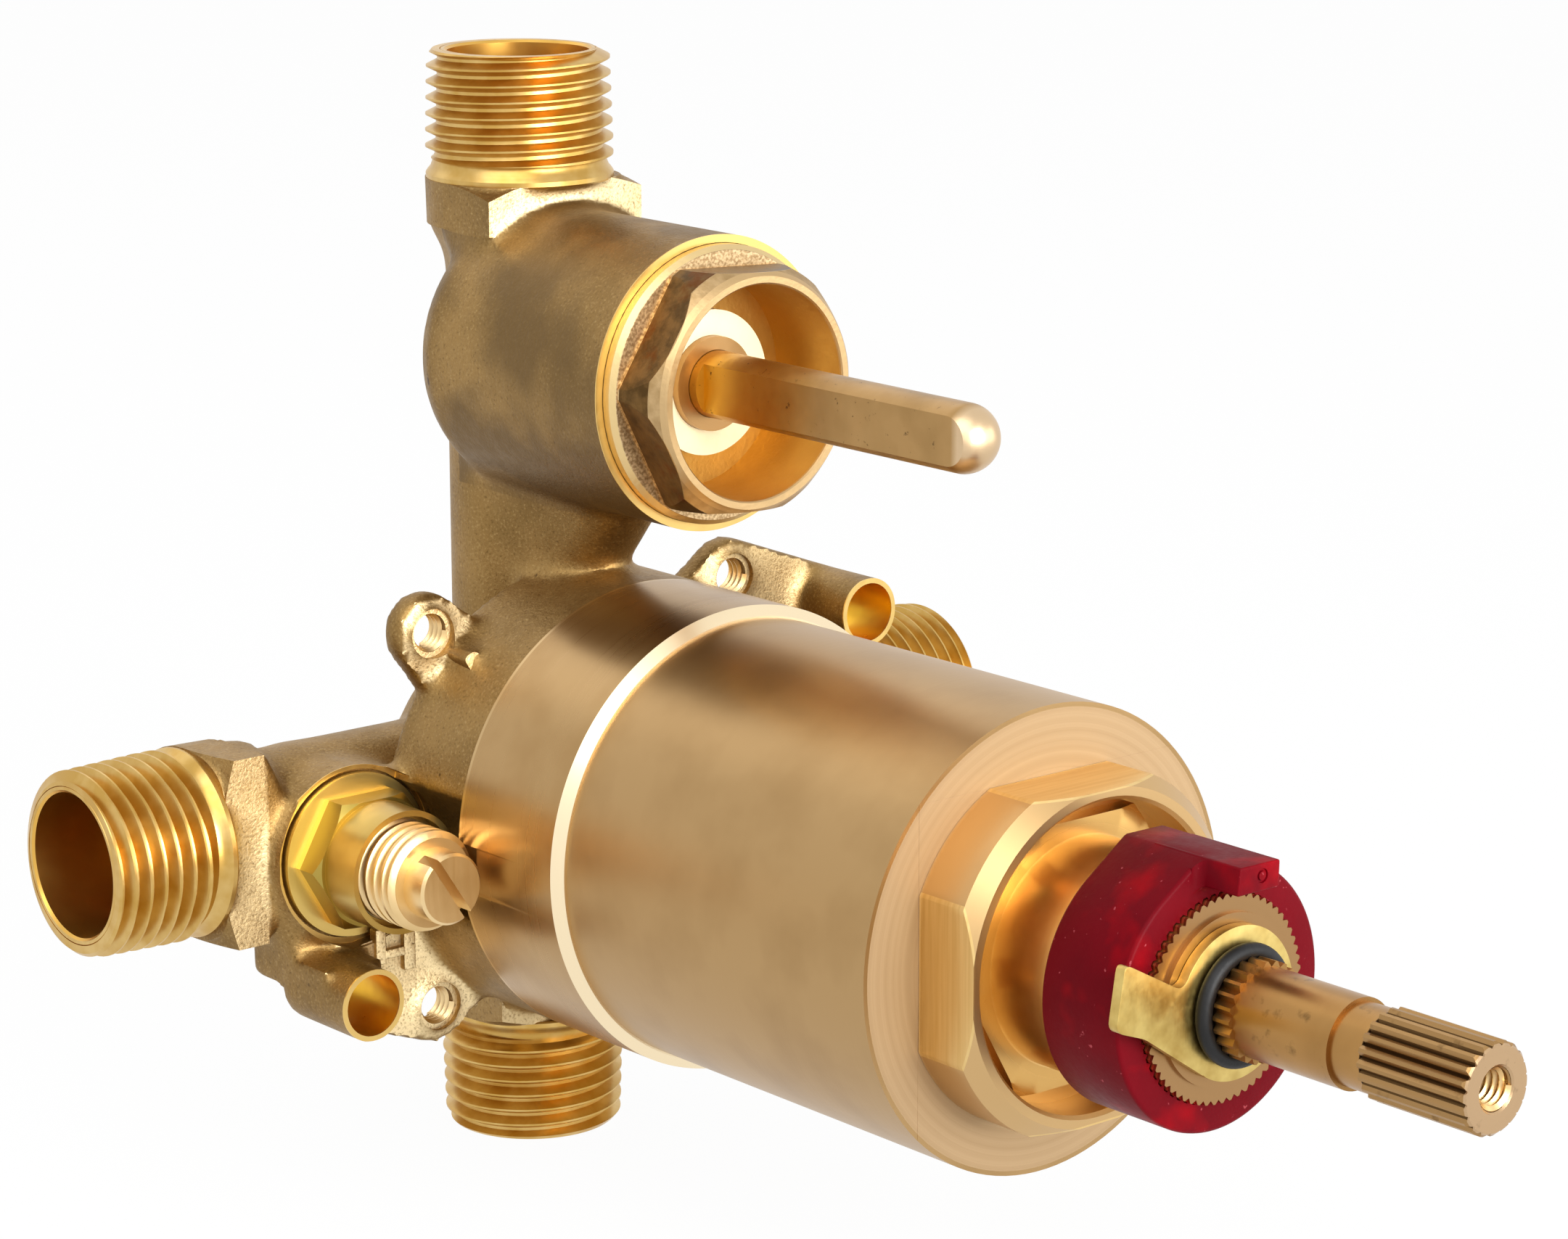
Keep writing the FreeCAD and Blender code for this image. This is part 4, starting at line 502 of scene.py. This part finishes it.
def crimson_plastic():
    finish = Finish("crimson_plastic", tone(112, 4, 16), roughness=0.38, specular_ior_level=0.05)
    cloud = finish.grain(6, 3, 0.5)
    base = finish.mix(cloud, tone(84, 3, 13), tone(104, 5, 17))
    base = finish.mix(finish.mask(finish.grain(8, 3, 0.55), 0.54, 0.72), base, tone(132, 2, 14))
    base = finish.mix(finish.mask(finish.grain(0.9, 2), 0.70, 0.74), base, tone(148, 60, 66))
    finish.feed("Base Color", base)
    finish.feed("Roughness", 0.32 + 0.16 * finish.grain(0.8, 2))
    return finish.bump(finish.grain(0.5, 2), 0.02).material


def plated_steel():
    finish = Finish("plated_steel", tone(196, 172, 104), metallic=1.0, roughness=0.32)
    cloud = finish.grain(3, 3, 0.55)
    base = finish.mix(finish.mask(cloud, 0.35, 0.7), tone(218, 192, 116), tone(184, 152, 80))
    finish.feed("Base Color", base)
    finish.feed("Roughness", 0.26 + 0.2 * finish.grain(0.7, 2))
    return finish.bump(finish.grain(0.6, 2, 0.5, finish.sized(1, 1, 0.2)), 0.015).material


def black_rubber():
    finish = Finish("black_rubber", tone(16, 15, 15), roughness=0.42, specular_ior_level=0.3)
    finish.feed("Base Color", finish.mix(finish.grain(1.5, 2), tone(8, 8, 9), tone(22, 21, 21)))
    finish.feed("Roughness", 0.4 + 0.2 * finish.grain(0.6, 2))
    return finish.bump(finish.grain(0.4, 2), 0.02).material


def plastic(name, low, high, roughness=0.42):
    finish = Finish(name, high, roughness=roughness)
    finish.feed("Base Color", finish.mix(finish.grain(5, 3), low, high))
    finish.feed("Roughness", roughness - 0.05 + 0.1 * finish.grain(0.8, 2))
    return finish.bump(finish.grain(0.5, 2), 0.02).material


def spring_steel():
    finish = Finish("spring_steel", tone(150, 150, 148), metallic=1.0, roughness=0.3)
    finish.feed("Base Color", finish.mix(finish.grain(1.2, 3), tone(120, 120, 120), tone(178, 178, 176)))
    return finish.bump(finish.grain(0.3, 2), 0.01).material


CAST = cast_brass()
# The first neck band is a near-white painted highlight on the front chamfer; the second is a paler band at the rear
# edge
NECK = turned_brass("turned_brass", 0, 0, tone(182, 148, 101), tone(170, 135, 88), 0.28, bands=[
    (-28.6, -27.5, 24, 27, tone(250, 230, 192)), (-11.4, -11, 24, 27, tone(200, 168, 120))])
SLEEVE = sleeve_brass()
CARTRIDGE = turned_brass("bonnet_brass", 0, 0, tone(240, 200, 130), tone(218, 170, 98), 0.28, bands=[
    (-103, -102, 0, 11.2, tone(170, 132, 88)), (-84, -76, 12.3, 17, tone(222, 176, 104))])
STEM = turned_brass(
    "stem_brass", 0, 0, tone(174, 132, 78), tone(158, 118, 68), 0.3, smudge=tone(112, 84, 50), bands=[
        (-137.3, -124.1, 0, 5, tone(164, 128, 82)), (-137.3, -124.1, 2.2, 4.3, tone(92, 68, 40)),
        (-138, -137.3, 0, 5, tone(194, 162, 124)), (-104.8, -91, 0, 4.9, tone(232, 196, 136))])
BONNET = hexagon_brass()
BUSH = turned_brass("bush_brass", 0, DIVERTER_UP, tone(182, 142, 92), tone(150, 112, 66), 0.32)
DIVERTER_BAR = bar_brass()
STOPS = {
    hand: turned_brass(
        f"{hand}_stop_brass", side * STOP_ACROSS, STOP_UP, tone(206, 176, 100), tone(180, 146, 70), 0.32,
        bands=[(0.1, 1.7, 0, 10, tone(240, 212, 128)), (-3.1, 0.1, 6.98, 8.6, tone(172, 148, 72))])
    for hand, side in (("hot", -1), ("cold", 1))
}
SPINDLE = turned_brass("spindle_brass", 0, 0, tone(238, 208, 154), tone(216, 182, 124), 0.32)
THREAD = thread_brass()
CRIMSON = crimson_plastic()
PLATED = plated_steel()
RUBBER = black_rubber()
IVORY = plastic("ivory_plastic", tone(238, 222, 176), tone(250, 238, 200))
GREY = plastic("grey_plastic", tone(120, 122, 124), tone(150, 152, 154))
CERAMIC = plastic("white_ceramic", tone(226, 224, 218), tone(240, 238, 234), 0.2)
SPRING = spring_steel()

FINISH_OF = {
    "front_sleeve": SLEEVE, "cartridge_bonnet": CARTRIDGE, "limit_ring": CRIMSON, "tab_washer": PLATED,
    "main_stem": STEM, "drive_nut": STEM, "pin_seat": STEM, "wax_element": STEM,
    "diverter_bonnet": BONNET, "diverter_bush": BUSH, "diverter_stem": DIVERTER_BAR,
    "retainer_disc": IVORY, "thrust_washer": IVORY, "moving_disc": CERAMIC, "fixed_disc": CERAMIC,
    "shuttle": GREY, "cartridge_cage": GREY, "overload_spring": SPRING, "return_spring": SPRING,
    "seat_clip": SPRING, "plunger_pin": SPRING, "valve_body": CAST,
}
for name, item in nodes.items():
    finish = FINISH_OF.get(name)
    for hand, brass in STOPS.items():
        if name.startswith(hand) and name.endswith(("bonnet", "stop_spindle")):
            finish = brass
    item.data.materials[0] = finish or RUBBER


def dress(piece, body, finish):
    """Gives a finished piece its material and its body."""
    piece.data.materials.clear()
    piece.data.materials.append(finish)
    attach(piece, body)
    return piece


# Casting: the whole outside is softened as sand leaves it, then every bore and machined face is cut crisp


def plugs(longer):
    """Fillings of every bore; the longer set cuts them open again and clears what stands before a face."""
    end, rim = (3, 1) if longer else (0, 0)
    forms = [
        turned("chamber_plug", [(0, -30 - end), (25, -30 - end), (25, 0.5), (13.7, 0.5), (13.7, 17.8),
                                (0, 17.8)]),
        turned("boss_plug", [(0, -25.5 - end), (16.3 + rim, -25.5 - end), (16.3 + rim, -23.54),
                             (15.8, -23.54), (15.8, -3), (0, -3)], DIVERTER),
        rod("riser_plug", 8.4, -128.3 - end, 2 + end, PIPE_ENDS["top"]),
        rod("inlet_plug", 8.4, -125.8 - end, 2 + end, PIPE_ENDS["cold"]),
    ]
    for spot in (HOT_STOP, COLD_STOP):
        mouth = [(0, -20), (9.6, -20), (9.6, -1.2), (10.25, -1.2), (10.25, 1.65)]
        mouth = mouth if longer else [(0, -0.4), (10.1, -0.4), (10.1, 1.65)]
        forms.append(turned("stop_plug", mouth + [(9.8, 1.65), (9.8, 3.2), (7.4, 3.2), (7.4, 16), (0, 16)], spot))
    for side in (-1, 1):
        forms.append(turned("tube_plug", [(0, -9.7 - end), (4.1 + rim, -9.7 - end), (4.1 + rim, -8.17), (3.9, -8.17),
                                          (3.9, 4 + end), (0, 4 + end)], behind(TUBE_ACROSS * side, TUBE_UP * side)))
        for up in (-1, 1):
            forms.append(rod("lug_plug", 2.8, -1 - 0.4 * end, 4 + end, behind(LUG_SPOT * side, LUG_SPOT * up)))
    return forms


def fill_corners(piece, rounds, share):
    """Lets the inside corners of a mesh grow outwards, as cast fillets do, and eases its rear all over."""
    mesh = piece.data
    count = len(mesh.vertices)
    spots = np.empty(count * 3)
    mesh.vertices.foreach_get("co", spots)
    spots = spots.reshape(-1, 3)
    edges = np.empty(len(mesh.edges) * 2, dtype=np.int64)
    mesh.edges.foreach_get("vertices", edges)
    ends = np.concatenate((edges[0::2], edges[1::2]))
    others = np.concatenate((edges[1::2], edges[0::2]))
    degree = np.bincount(ends, minlength=count)[:, None]

    def middle_of(spots):
        return np.stack([np.bincount(ends, spots[others, i], count) for i in range(3)], 1) / degree

    normals = np.empty(count * 3)
    for step in range(rounds):
        if step % 4 == 0:
            mesh.vertices.foreach_set("co", spots.ravel())
            mesh.update()
            mesh.vertex_normals.foreach_get("vector", normals)
            ways = normals.reshape(-1, 3)
        rise = ((middle_of(spots) - spots) * ways).sum(1)
        spots = spots + ways * (share * np.maximum(rise - 0.004 * MM, 0))[:, None]
    rear = np.clip((spots[:, 1:2] / MM - 8) / 4, 0, 1)
    for _ in range(14):
        spots = spots + (middle_of(spots) - spots) * 0.5 * rear
    spots[:, 1] = np.minimum(spots[:, 1], cad_box[1][1])
    mesh.vertices.foreach_set("co", spots.ravel())
    mesh.update()


def mark_painted_highlight(mesh):
    """Marks what looks to the front on the lugs, the nib and the wrench blocks, where a highlight is painted for the
    light they catch.
    """
    count = len(mesh.loops)
    ways, spots, of = np.empty(count * 3), np.empty(len(mesh.vertices) * 3), np.empty(count, dtype=np.int64)
    mesh.corner_normals.foreach_get("vector", ways)
    mesh.vertices.foreach_get("co", spots)
    mesh.loops.foreach_get("vertex_index", of)
    x, y, z = (spots.reshape(-1, 3)[of] / MM).T
    # Strength of the painted highlight: faces turned to the front only, weaker towards the right
    level = np.clip((-ways[1::3] - 0.80) / 0.15, 0, 1)
    lugs = (y > -5) & (y < 0.5) & (np.hypot(x, z) > 26.3) & (np.abs(z) < 28)
    grips = ((y > 2) & (y < 3)) * (0.55 * ((np.abs(x) > 42.3) | (z < -22.7)) + (z > 64.4))
    level = level * (lugs + grips) * np.interp(x, (0, 20), (1, 0.35))
    mesh.attributes.new("painted_highlight", "FLOAT", "CORNER").data.foreach_set("value", level.astype(np.float32))


body_copy = copy_of("valve_body")
cutters = plugs(True)
hollows = cutters[0]
for plug in cutters[1:]:
    shape(hollows, plug, "UNION")
shape(hollows, body_copy, keep=True)

casting = joined("casting", [body_copy] + plugs(False))
soften = casting.modifiers.new("sand", "REMESH")
soften.mode = "VOXEL"
soften.voxel_size = 0.62 * MM
soften.use_smooth_shade = True
even = casting.modifiers.new("even", "SMOOTH")
even.factor = 0.5
even.iterations = 2
settle(casting)
fill_corners(casting, 36, 0.5)
even = casting.modifiers.new("even", "SMOOTH")
even.factor = 0.4
even.iterations = 1
settle(casting)
shape(casting, hollows)

# Forms that the sand keeps sharper: the wrench blocks, the locating nib and a raised letter for the hot side
BLOCKS = [((-47.5, 2, -15), (-42.35, 20, 15)), ((42.35, 2, -15), (47.5, 20, 15)),
          ((-15, 2, 64.45), (15, 20, 69.6)), ((-15, 2, -27.9), (15, 20, -22.75))]
for low, high in BLOCKS:
    grip = copy_of("valve_body")
    proud = grip.modifiers.new("proud", "DISPLACE")
    proud.strength = 0.07 * MM
    proud.mid_level = 0
    settle(grip)
    shape(grip, block("grip_crop", low, high), "INTERSECT")
    shape(casting, grip, "UNION")
nib = eased([(-18.7, 16.7, 0.1), (-16.65, 18.6, 0.1), (-19.0, 20.1, 0.7), (-20.4, 19.3, 0.7)])
shape(casting, plate("nib", nib, -4.6, -0.5, 0.12), "UNION")
for low, high in (((-30.35, -15.1), (-28.95, -10.9)), ((-26.55, -16.4), (-24.95, -12.0)),
                  ((-29.2, -14.6), (-26.3, -13.5))):
    corners = [(low[0], low[1], 0.3), (high[0], low[1], 0.3), (high[0], high[1], 0.3), (low[0], high[1], 0.3)]
    shape(casting, plate("letter_stroke", eased(corners), -0.75, 0.5, 0.15), "UNION")
for name, spot in PIPE_ENDS.items():
    shape(casting, rod("stub_cutter", 15, -14.4, 3, spot))
shape(casting, turned("neck_cutter", [(20, -32), (29, -32), (29, -11), (20, -11)]))
tidy_mesh(casting.data, 40)
mark_painted_highlight(casting.data)
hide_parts("valve_body")
dress(casting, "valve", CAST)

# The turned neck of the drum
neck = turned("machined_neck", [
    (22.05, -28.5), (25.1, -28.5), (26.2, -27.5), (26.2, -11), (22.05, -11),
], steps=200)
for spot in (HOT_STOP, COLD_STOP):
    shape(neck, rod("spindle_room", 6.1, -14.3, 0, spot))
tidy_mesh(neck.data)
dress(neck, "valve", NECK)


# Threads: one swept ridge, tapered or straight


def thread_tree():
    """A ridge of four corners swept along a spiral."""
    tree = bpy.data.node_groups.new("thread", "GeometryNodeTree")
    tree.interface.new_socket("Geometry", in_out="OUTPUT", socket_type="NodeSocketGeometry")
    sizes = ["Start Radius", "End Radius", "Pitch", "Turns", "Root Width", "Crest Width", "Depth"]
    for name in sizes:
        tree.interface.new_socket(name, in_out="INPUT", socket_type="NodeSocketFloat")
    tree.interface.new_socket("Sides", in_out="INPUT", socket_type="NodeSocketInt")
    tree.interface.new_socket("Material", in_out="INPUT", socket_type="NodeSocketMaterial")
    given = tree.nodes.new("NodeGroupInput").outputs

    def add(kind, **sockets):
        node = tree.nodes.new(kind)
        for key, value in sockets.items():
            socket = node.inputs[int(key[1:]) if key[0] == "i" and key[1:].isdigit() else key.replace("_", " ")]
            if hasattr(value, "is_output"):
                tree.links.new(value, socket)
            else:
                socket.default_value = value
        return node

    def times(first, second):
        node = add("ShaderNodeMath", i0=first, i1=second)
        node.operation = "MULTIPLY"
        return node.outputs[0]

    spiral = add("GeometryNodeCurveSpiral", Resolution=given["Sides"], Rotations=given["Turns"],
                 Start_Radius=given["Start Radius"], End_Radius=given["End Radius"],
                 Height=times(given["Turns"], given["Pitch"]), Reverse=True)
    upright = add("GeometryNodeSetCurveNormal", Curve=spiral.outputs[0])
    upright.mode = "Z_UP"
    section = tree.nodes.new("GeometryNodeCurvePrimitiveQuadrilateral")
    section.mode = "POINTS"
    inward = times(given["Depth"], -1.0)
    for i, (depth, width, side) in enumerate(((inward, "Root Width", -0.5), (inward, "Root Width", 0.5),
                                              (0.0, "Crest Width", 0.5), (0.0, "Crest Width", -0.5))):
        corner = add("ShaderNodeCombineXYZ", i0=depth, i1=times(given[width], side))
        tree.links.new(corner.outputs[0], section.inputs[f"Point {i + 1}"])
    sweep = add("GeometryNodeCurveToMesh", Curve=upright.outputs[0], Profile_Curve=section.outputs[0],
                Fill_Caps=True)
    whole = add("GeometryNodeRealizeInstances", Geometry=sweep.outputs[0])
    painted = add("GeometryNodeSetMaterial", Geometry=whole.outputs[0], Material=given["Material"])
    out = tree.nodes.new("NodeGroupOutput")
    tree.links.new(painted.outputs[0], out.inputs[0])
    return tree


THREAD_TREE = thread_tree()


def ridge(name, start_radius, end_radius, pitch, turns, depth, place, start, crest=0.12, root=0.96, sides=64):
    """A thread ridge; radii, pitch and stations in millimetres, crest and root as shares of the pitch."""
    piece = piece_from(name, bpy.data.meshes.new(name))
    change = piece.modifiers.new("thread", "NODES")
    change.node_group = THREAD_TREE
    values = {
        "Start Radius": start_radius * MM, "End Radius": end_radius * MM, "Pitch": pitch * MM, "Turns": turns,
        "Root Width": root * pitch * MM, "Crest Width": crest * pitch * MM, "Depth": depth * MM, "Sides": sides,
        "Material": THREAD,
    }
    for socket in THREAD_TREE.interface.items_tree:
        if socket.in_out == "INPUT":
            change[socket.identifier] = values[socket.name]
    settle(piece)
    piece.data.transform(place @ Matrix.Translation((0, 0, start * MM)))
    tidy_mesh(piece.data)
    return piece


for name, spot in PIPE_ENDS.items():
    ridges = ridge(f"{name}_ridges", 10.74, 10.28, 1.8, 8.2, 1.5, spot, -13.4)
    limit = turned(f"{name}_limit", [(0, -12.2), (10.63, -12.2), (10.63, -1.1), (9.7, 0), (0, 0)], spot)
    shape(ridges, limit, "INTERSECT")
    core = turned(f"{name}_core", [
        (8.06, -14.6), (10.5, -14.6), (10.63, -14.4), (10.63, -13.9), (10.4, -13.55), (10.1, -13.2), (9.9, -12.7),
        (9.8, -12.2), (9.5, -11.6), (9.1, -0.5), (8.7, 0), (8.35, 0), (8.06, -0.3),
    ], spot)
    stub = joined(f"{name}_threads", [ridges, core])
    tidy_mesh(stub.data)
    dress(stub, "valve", THREAD)

# Internal threads: the screw hole of the stem and the four lug holes
stem_thread = ridge("stem_screw_thread", 1.7, 1.7, 0.8, 8, -0.42, MAIN, -137.1, sides=32)
dress(stem_thread, "stem", SPINDLE)
lug_threads = joined("lug_threads", [
    ridge("lug_thread", 1.86, 1.86, 0.8, 3.2, -0.44, behind(LUG_SPOT * side, LUG_SPOT * up), 0.25, sides=32)
    for side in (-1, 1) for up in (-1, 1)])
tidy_mesh(lug_threads.data)
dress(lug_threads, "valve", SPINDLE)

# Diverter bonnet: a flange with a turned edge, a hexagon with its corners turned off, and the cup
bonnet = turned("diverter_bonnet_turning", [
    (5.2, -20), (11.8, -20), (11.8, -31.05), (11.95, -31.2), (12.66, -31.2), (12.86, -31.0), (12.86, -25.2),
    (14.75, -25.2), (15.33, -24.6), (15.33, -22.24), (13.35, -22.24), (13.35, -14), (11.2, -14), (11.2, -17),
    (5.2, -17),
], DIVERTER, 160)
hexagon = turned("hexagon", [(12.4, -31), (15, -31), (15, -25.0), (12.4, -25.0)],
                 DIVERTER @ Matrix.Rotation(math.radians(3), 4, "Z"), 6)
corner_turning = [(0, -31.0), (12.85, -31.0), (14.0, -29.7), (14.6, -27.0), (14.7, -25.0), (0, -25.0)]
shape(hexagon, turned("corner_turning", corner_turning, DIVERTER, 160), "INTERSECT")
shape(hexagon, rod("cup_room", 12.4, -33, -20, DIVERTER, 160))
shape(bonnet, hexagon, "UNION")
bonnet.name = "diverter_bonnet_dressed"
tidy_mesh(bonnet.data, 20)
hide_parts("diverter_bonnet")
dress(bonnet, "valve", BONNET)

# Front sleeve: its four flats run back to the shoulder over a solid wall; the flange behind is narrower
sleeve = copy_of("front_sleeve")
wall = turned("wall", [(17.1, -79.75), (19.36, -79.75), (19.36, -75.5), (17.1, -75.5)], steps=160)
shape(sleeve, wall, "UNION")
for low, high in (((17.6, -20), (26, 20)), ((-26, -20), (-17.6, 20)),
                  ((-20, 17.6), (20, 26)), ((-20, -26), (20, -17.6))):
    shape(sleeve, block("flat_mill", (low[0], -88, low[1]), (high[0], -76.88, high[1])))
sleeve.name = "sleeve_dressed"
tidy_mesh(sleeve.data)
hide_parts("front_sleeve")
dress(sleeve, "valve", SLEEVE)
cartridge = copy_of("cartridge_bonnet")
shape(cartridge, turned("flange_room", [(17.0, -80.5), (21, -80.5), (21, -75.4), (17.0, -75.4)], steps=160))
cartridge.name = "cartridge_bonnet_dressed"
tidy_mesh(cartridge.data)
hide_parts("cartridge_bonnet")
dress(cartridge, "valve", CARTRIDGE)

# Limit ring: a flat pad on its round runs out forward as the tab, with a fillet where it leaves the face
core = rod("ring_core", 12.6, -104, -89)
shape(core, copy_of("limit_ring"))
rim = arc(13.9, 125.2, 418.8, 120) + [(2.57, 14.7), (2.2, 14.93), (-2.6, 14.99), (-2.97, 14.85)]
limit_ring = plate("limit_ring_dressed", rim, -101.6, -90.72, 0.45)
corners = [(-2.97, 14.99, 0.3), (2.55, 14.93, 0.3), (2.45, 12.15, 0.3), (-3.3, 12.15, 0.3)]
tab = plate("tab", eased(corners), -107, -95, 0.3)
dimple = turned("dimple", [(0.4, -107.3), (0.8, -107.3), (0.7, -106.8), (0.5, -106.8)], behind(0.1, 13.7), 24)
shape(tab, dimple)
skirts = []
for i in range(6):
    grow = 1.1 * (1 - math.sin(math.radians(18 * i)))
    skirts.append(eased([(-2.97 - grow, 14.99, 0.3), (2.55 + grow, 14.93, 0.3), (2.45 + grow, 12.15 - grow, 0.3),
                         (-3.3 - grow, 12.15 - grow, 0.3)]))
fillet = lofted("tab_fillet", [skirts[0]] + skirts,
                [-100.5] + [-101.6 - 1.1 * (1 - math.cos(math.radians(18 * i))) for i in range(6)])
shape(fillet, plate("rim_limit", rim, -106, -98), "INTERSECT")
shape(limit_ring, fillet, "UNION")
shape(limit_ring, tab, "UNION")
shape(limit_ring, core)
tidy_mesh(limit_ring.data, 35)
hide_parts("limit_ring")
dress(limit_ring, "valve", CRIMSON)

# Tab washer: the lower edge of its ear runs on into the disc, the upper one meets it in a fillet
hole = rod("washer_core", 6.3, -106, -101)
shape(hole, copy_of("tab_washer"))
ear = eased([(-8.51, 3.40, 0), (-15.4, 7.17, 1.0), (-16.5, 0.5, 1.0), (-12.62, -0.95, 0.6), (-4.45, -6.53, 0.2)])
ear = arc(7.9, 238, 506, 80) + arc(1.2, 330, 242, 8, -7.93, 4.45) + ear[1:-1]
washer = plate("tab_washer_dressed", ear, -104.05, -102.85, 0.12)
shape(washer, hole)
tidy_mesh(washer.data, 35)
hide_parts("tab_washer")
dress(washer, "stem", PLATED)

# Stop spindles with their threads
for hand, spot in (("hot", HOT_STOP), ("cold", COLD_STOP)):
    spindle = copy_of(f"{hand}_stop_spindle")
    groove = turned("thread_groove", [(5.0, -13.6), (8, -13.6), (8, -6.6), (5.0, -6.6)], spot)
    shape(spindle, groove)
    ridges = ridge(f"{hand}_spindle_ridges", 5.72, 5.72, 1.5, 5, 0.9, spot, -13.9,
                   crest=0.3, root=0.92, sides=48)
    limit = turned("ridge_limit", [(0, -13.4), (5.0, -13.4), (5.8, -12.9), (5.8, -6.4), (0, -6.4)], spot)
    shape(ridges, limit, "INTERSECT")
    tidy_mesh(ridges.data, 75)
    tidy_mesh(spindle.data)
    spindle = joined(f"{hand}_spindle", [spindle, ridges])
    tidy_mesh(spindle.data, 40)
    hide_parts(f"{hand}_stop_spindle")
    dress(spindle, f"{hand}_spindle", SPINDLE)


# Studio


def seen_directly(tree):
    """1 for what the camera, a mirror finish or a clear one sees, and 0 for light that falls on the object."""
    path = tree.nodes.new("ShaderNodeLightPath")
    seen = path.outputs["Is Camera Ray"]
    for other in ("Is Glossy Ray", "Is Transmission Ray"):
        add = tree.nodes.new("ShaderNodeMath")
        add.operation = "MAXIMUM"
        tree.links.new(seen, add.inputs[0])
        tree.links.new(path.outputs[other], add.inputs[1])
        seen = add.outputs[0]
    return seen


def studio():
    """Plain soft light, a pale floor and the camera at the picture's viewpoint."""
    world = bpy.data.worlds.new("studio")
    bpy.context.scene.world = world
    world.use_nodes = True
    tree = world.node_tree
    sky = tree.nodes["Background"]
    sky.inputs["Color"].default_value = (1, 1, 1, 1)
    level = tree.nodes.new("ShaderNodeMapRange")
    level.inputs["To Min"].default_value = 0.55
    level.inputs["To Max"].default_value = 1.0
    tree.links.new(seen_directly(tree), level.inputs["Value"])
    tree.links.new(level.outputs[0], sky.inputs["Strength"])

    floor = piece_from("floor", bpy.data.meshes.new("floor"))
    work = bmesh.new()
    bmesh.ops.create_grid(work, x_segments=1, y_segments=1, size=3)
    bmesh.ops.translate(work, verts=work.verts, vec=(0, 0, -42.6 * MM))
    work.to_mesh(floor.data)
    work.free()
    paper = bpy.data.materials.new("paper")
    paper.use_nodes = True
    tree = paper.node_tree
    sheet = tree.nodes["Principled BSDF"]
    sheet.inputs["Base Color"].default_value = (0.9, 0.9, 0.9, 1)
    sheet.inputs["Roughness"].default_value = 0.9
    white = tree.nodes.new("ShaderNodeEmission")
    white.inputs["Color"].default_value = (1, 1, 1, 1)
    share = tree.nodes.new("ShaderNodeMath")
    share.operation = "MULTIPLY"
    share.inputs[1].default_value = 0.96
    tree.links.new(seen_directly(tree), share.inputs[0])
    blend = tree.nodes.new("ShaderNodeMixShader")
    tree.links.new(share.outputs[0], blend.inputs[0])
    tree.links.new(sheet.outputs[0], blend.inputs[1])
    tree.links.new(white.outputs[0], blend.inputs[2])
    tree.links.new(blend.outputs[0], tree.nodes["Material Output"].inputs["Surface"])
    floor.data.materials.append(paper)

    for name, place, aim, width, depth, watts in (
        ("key", (-0.55, -0.35, 0.75), (0, -0.03, 0.02), 0.9, 0.8, 5),
        ("fill", (0.36, -0.46, 0.11), (0, -0.03, 0.02), 0.5, 0.28, 0.7),
        ("front", (-0.02, -0.85, 0.24), (0, -0.03, 0.02), 0.5, 0.5, 9),
        ("back", (0.1, 0.7, 0.7), (0, 0, 0.02), 1.0, 0.6, 0.8),
    ):
        data = bpy.data.lights.new(name, "AREA")
        data.shape = "RECTANGLE"
        data.size = width
        data.size_y = depth
        data.energy = watts
        lamp = bpy.data.objects.new(name, data)
        bpy.context.scene.collection.objects.link(lamp)
        lamp.location = place
        lamp.rotation_euler = (Vector(aim) - Vector(place)).to_track_quat("-Z", "Y").to_euler()

    lens = bpy.data.cameras.new("camera")
    lens.sensor_fit = "HORIZONTAL"
    lens.sensor_width = 36
    lens.lens = 104.88
    lens.clip_start = 0.01
    camera = bpy.data.objects.new("camera", lens)
    bpy.context.scene.collection.objects.link(camera)
    right, up = (0.764103, -0.645092, -0.0015), (0.150995, 0.176591, 0.972634)
    back = (-0.627173, -0.743419, 0.232339)
    place = Matrix((right, up, back)).transposed().to_4x4()
    place.translation = (-0.30911, -0.40167, 0.14073)
    camera.matrix_world = place
    bpy.context.scene.camera = camera
    bpy.context.scene.view_settings.view_transform = "Standard"


studio()
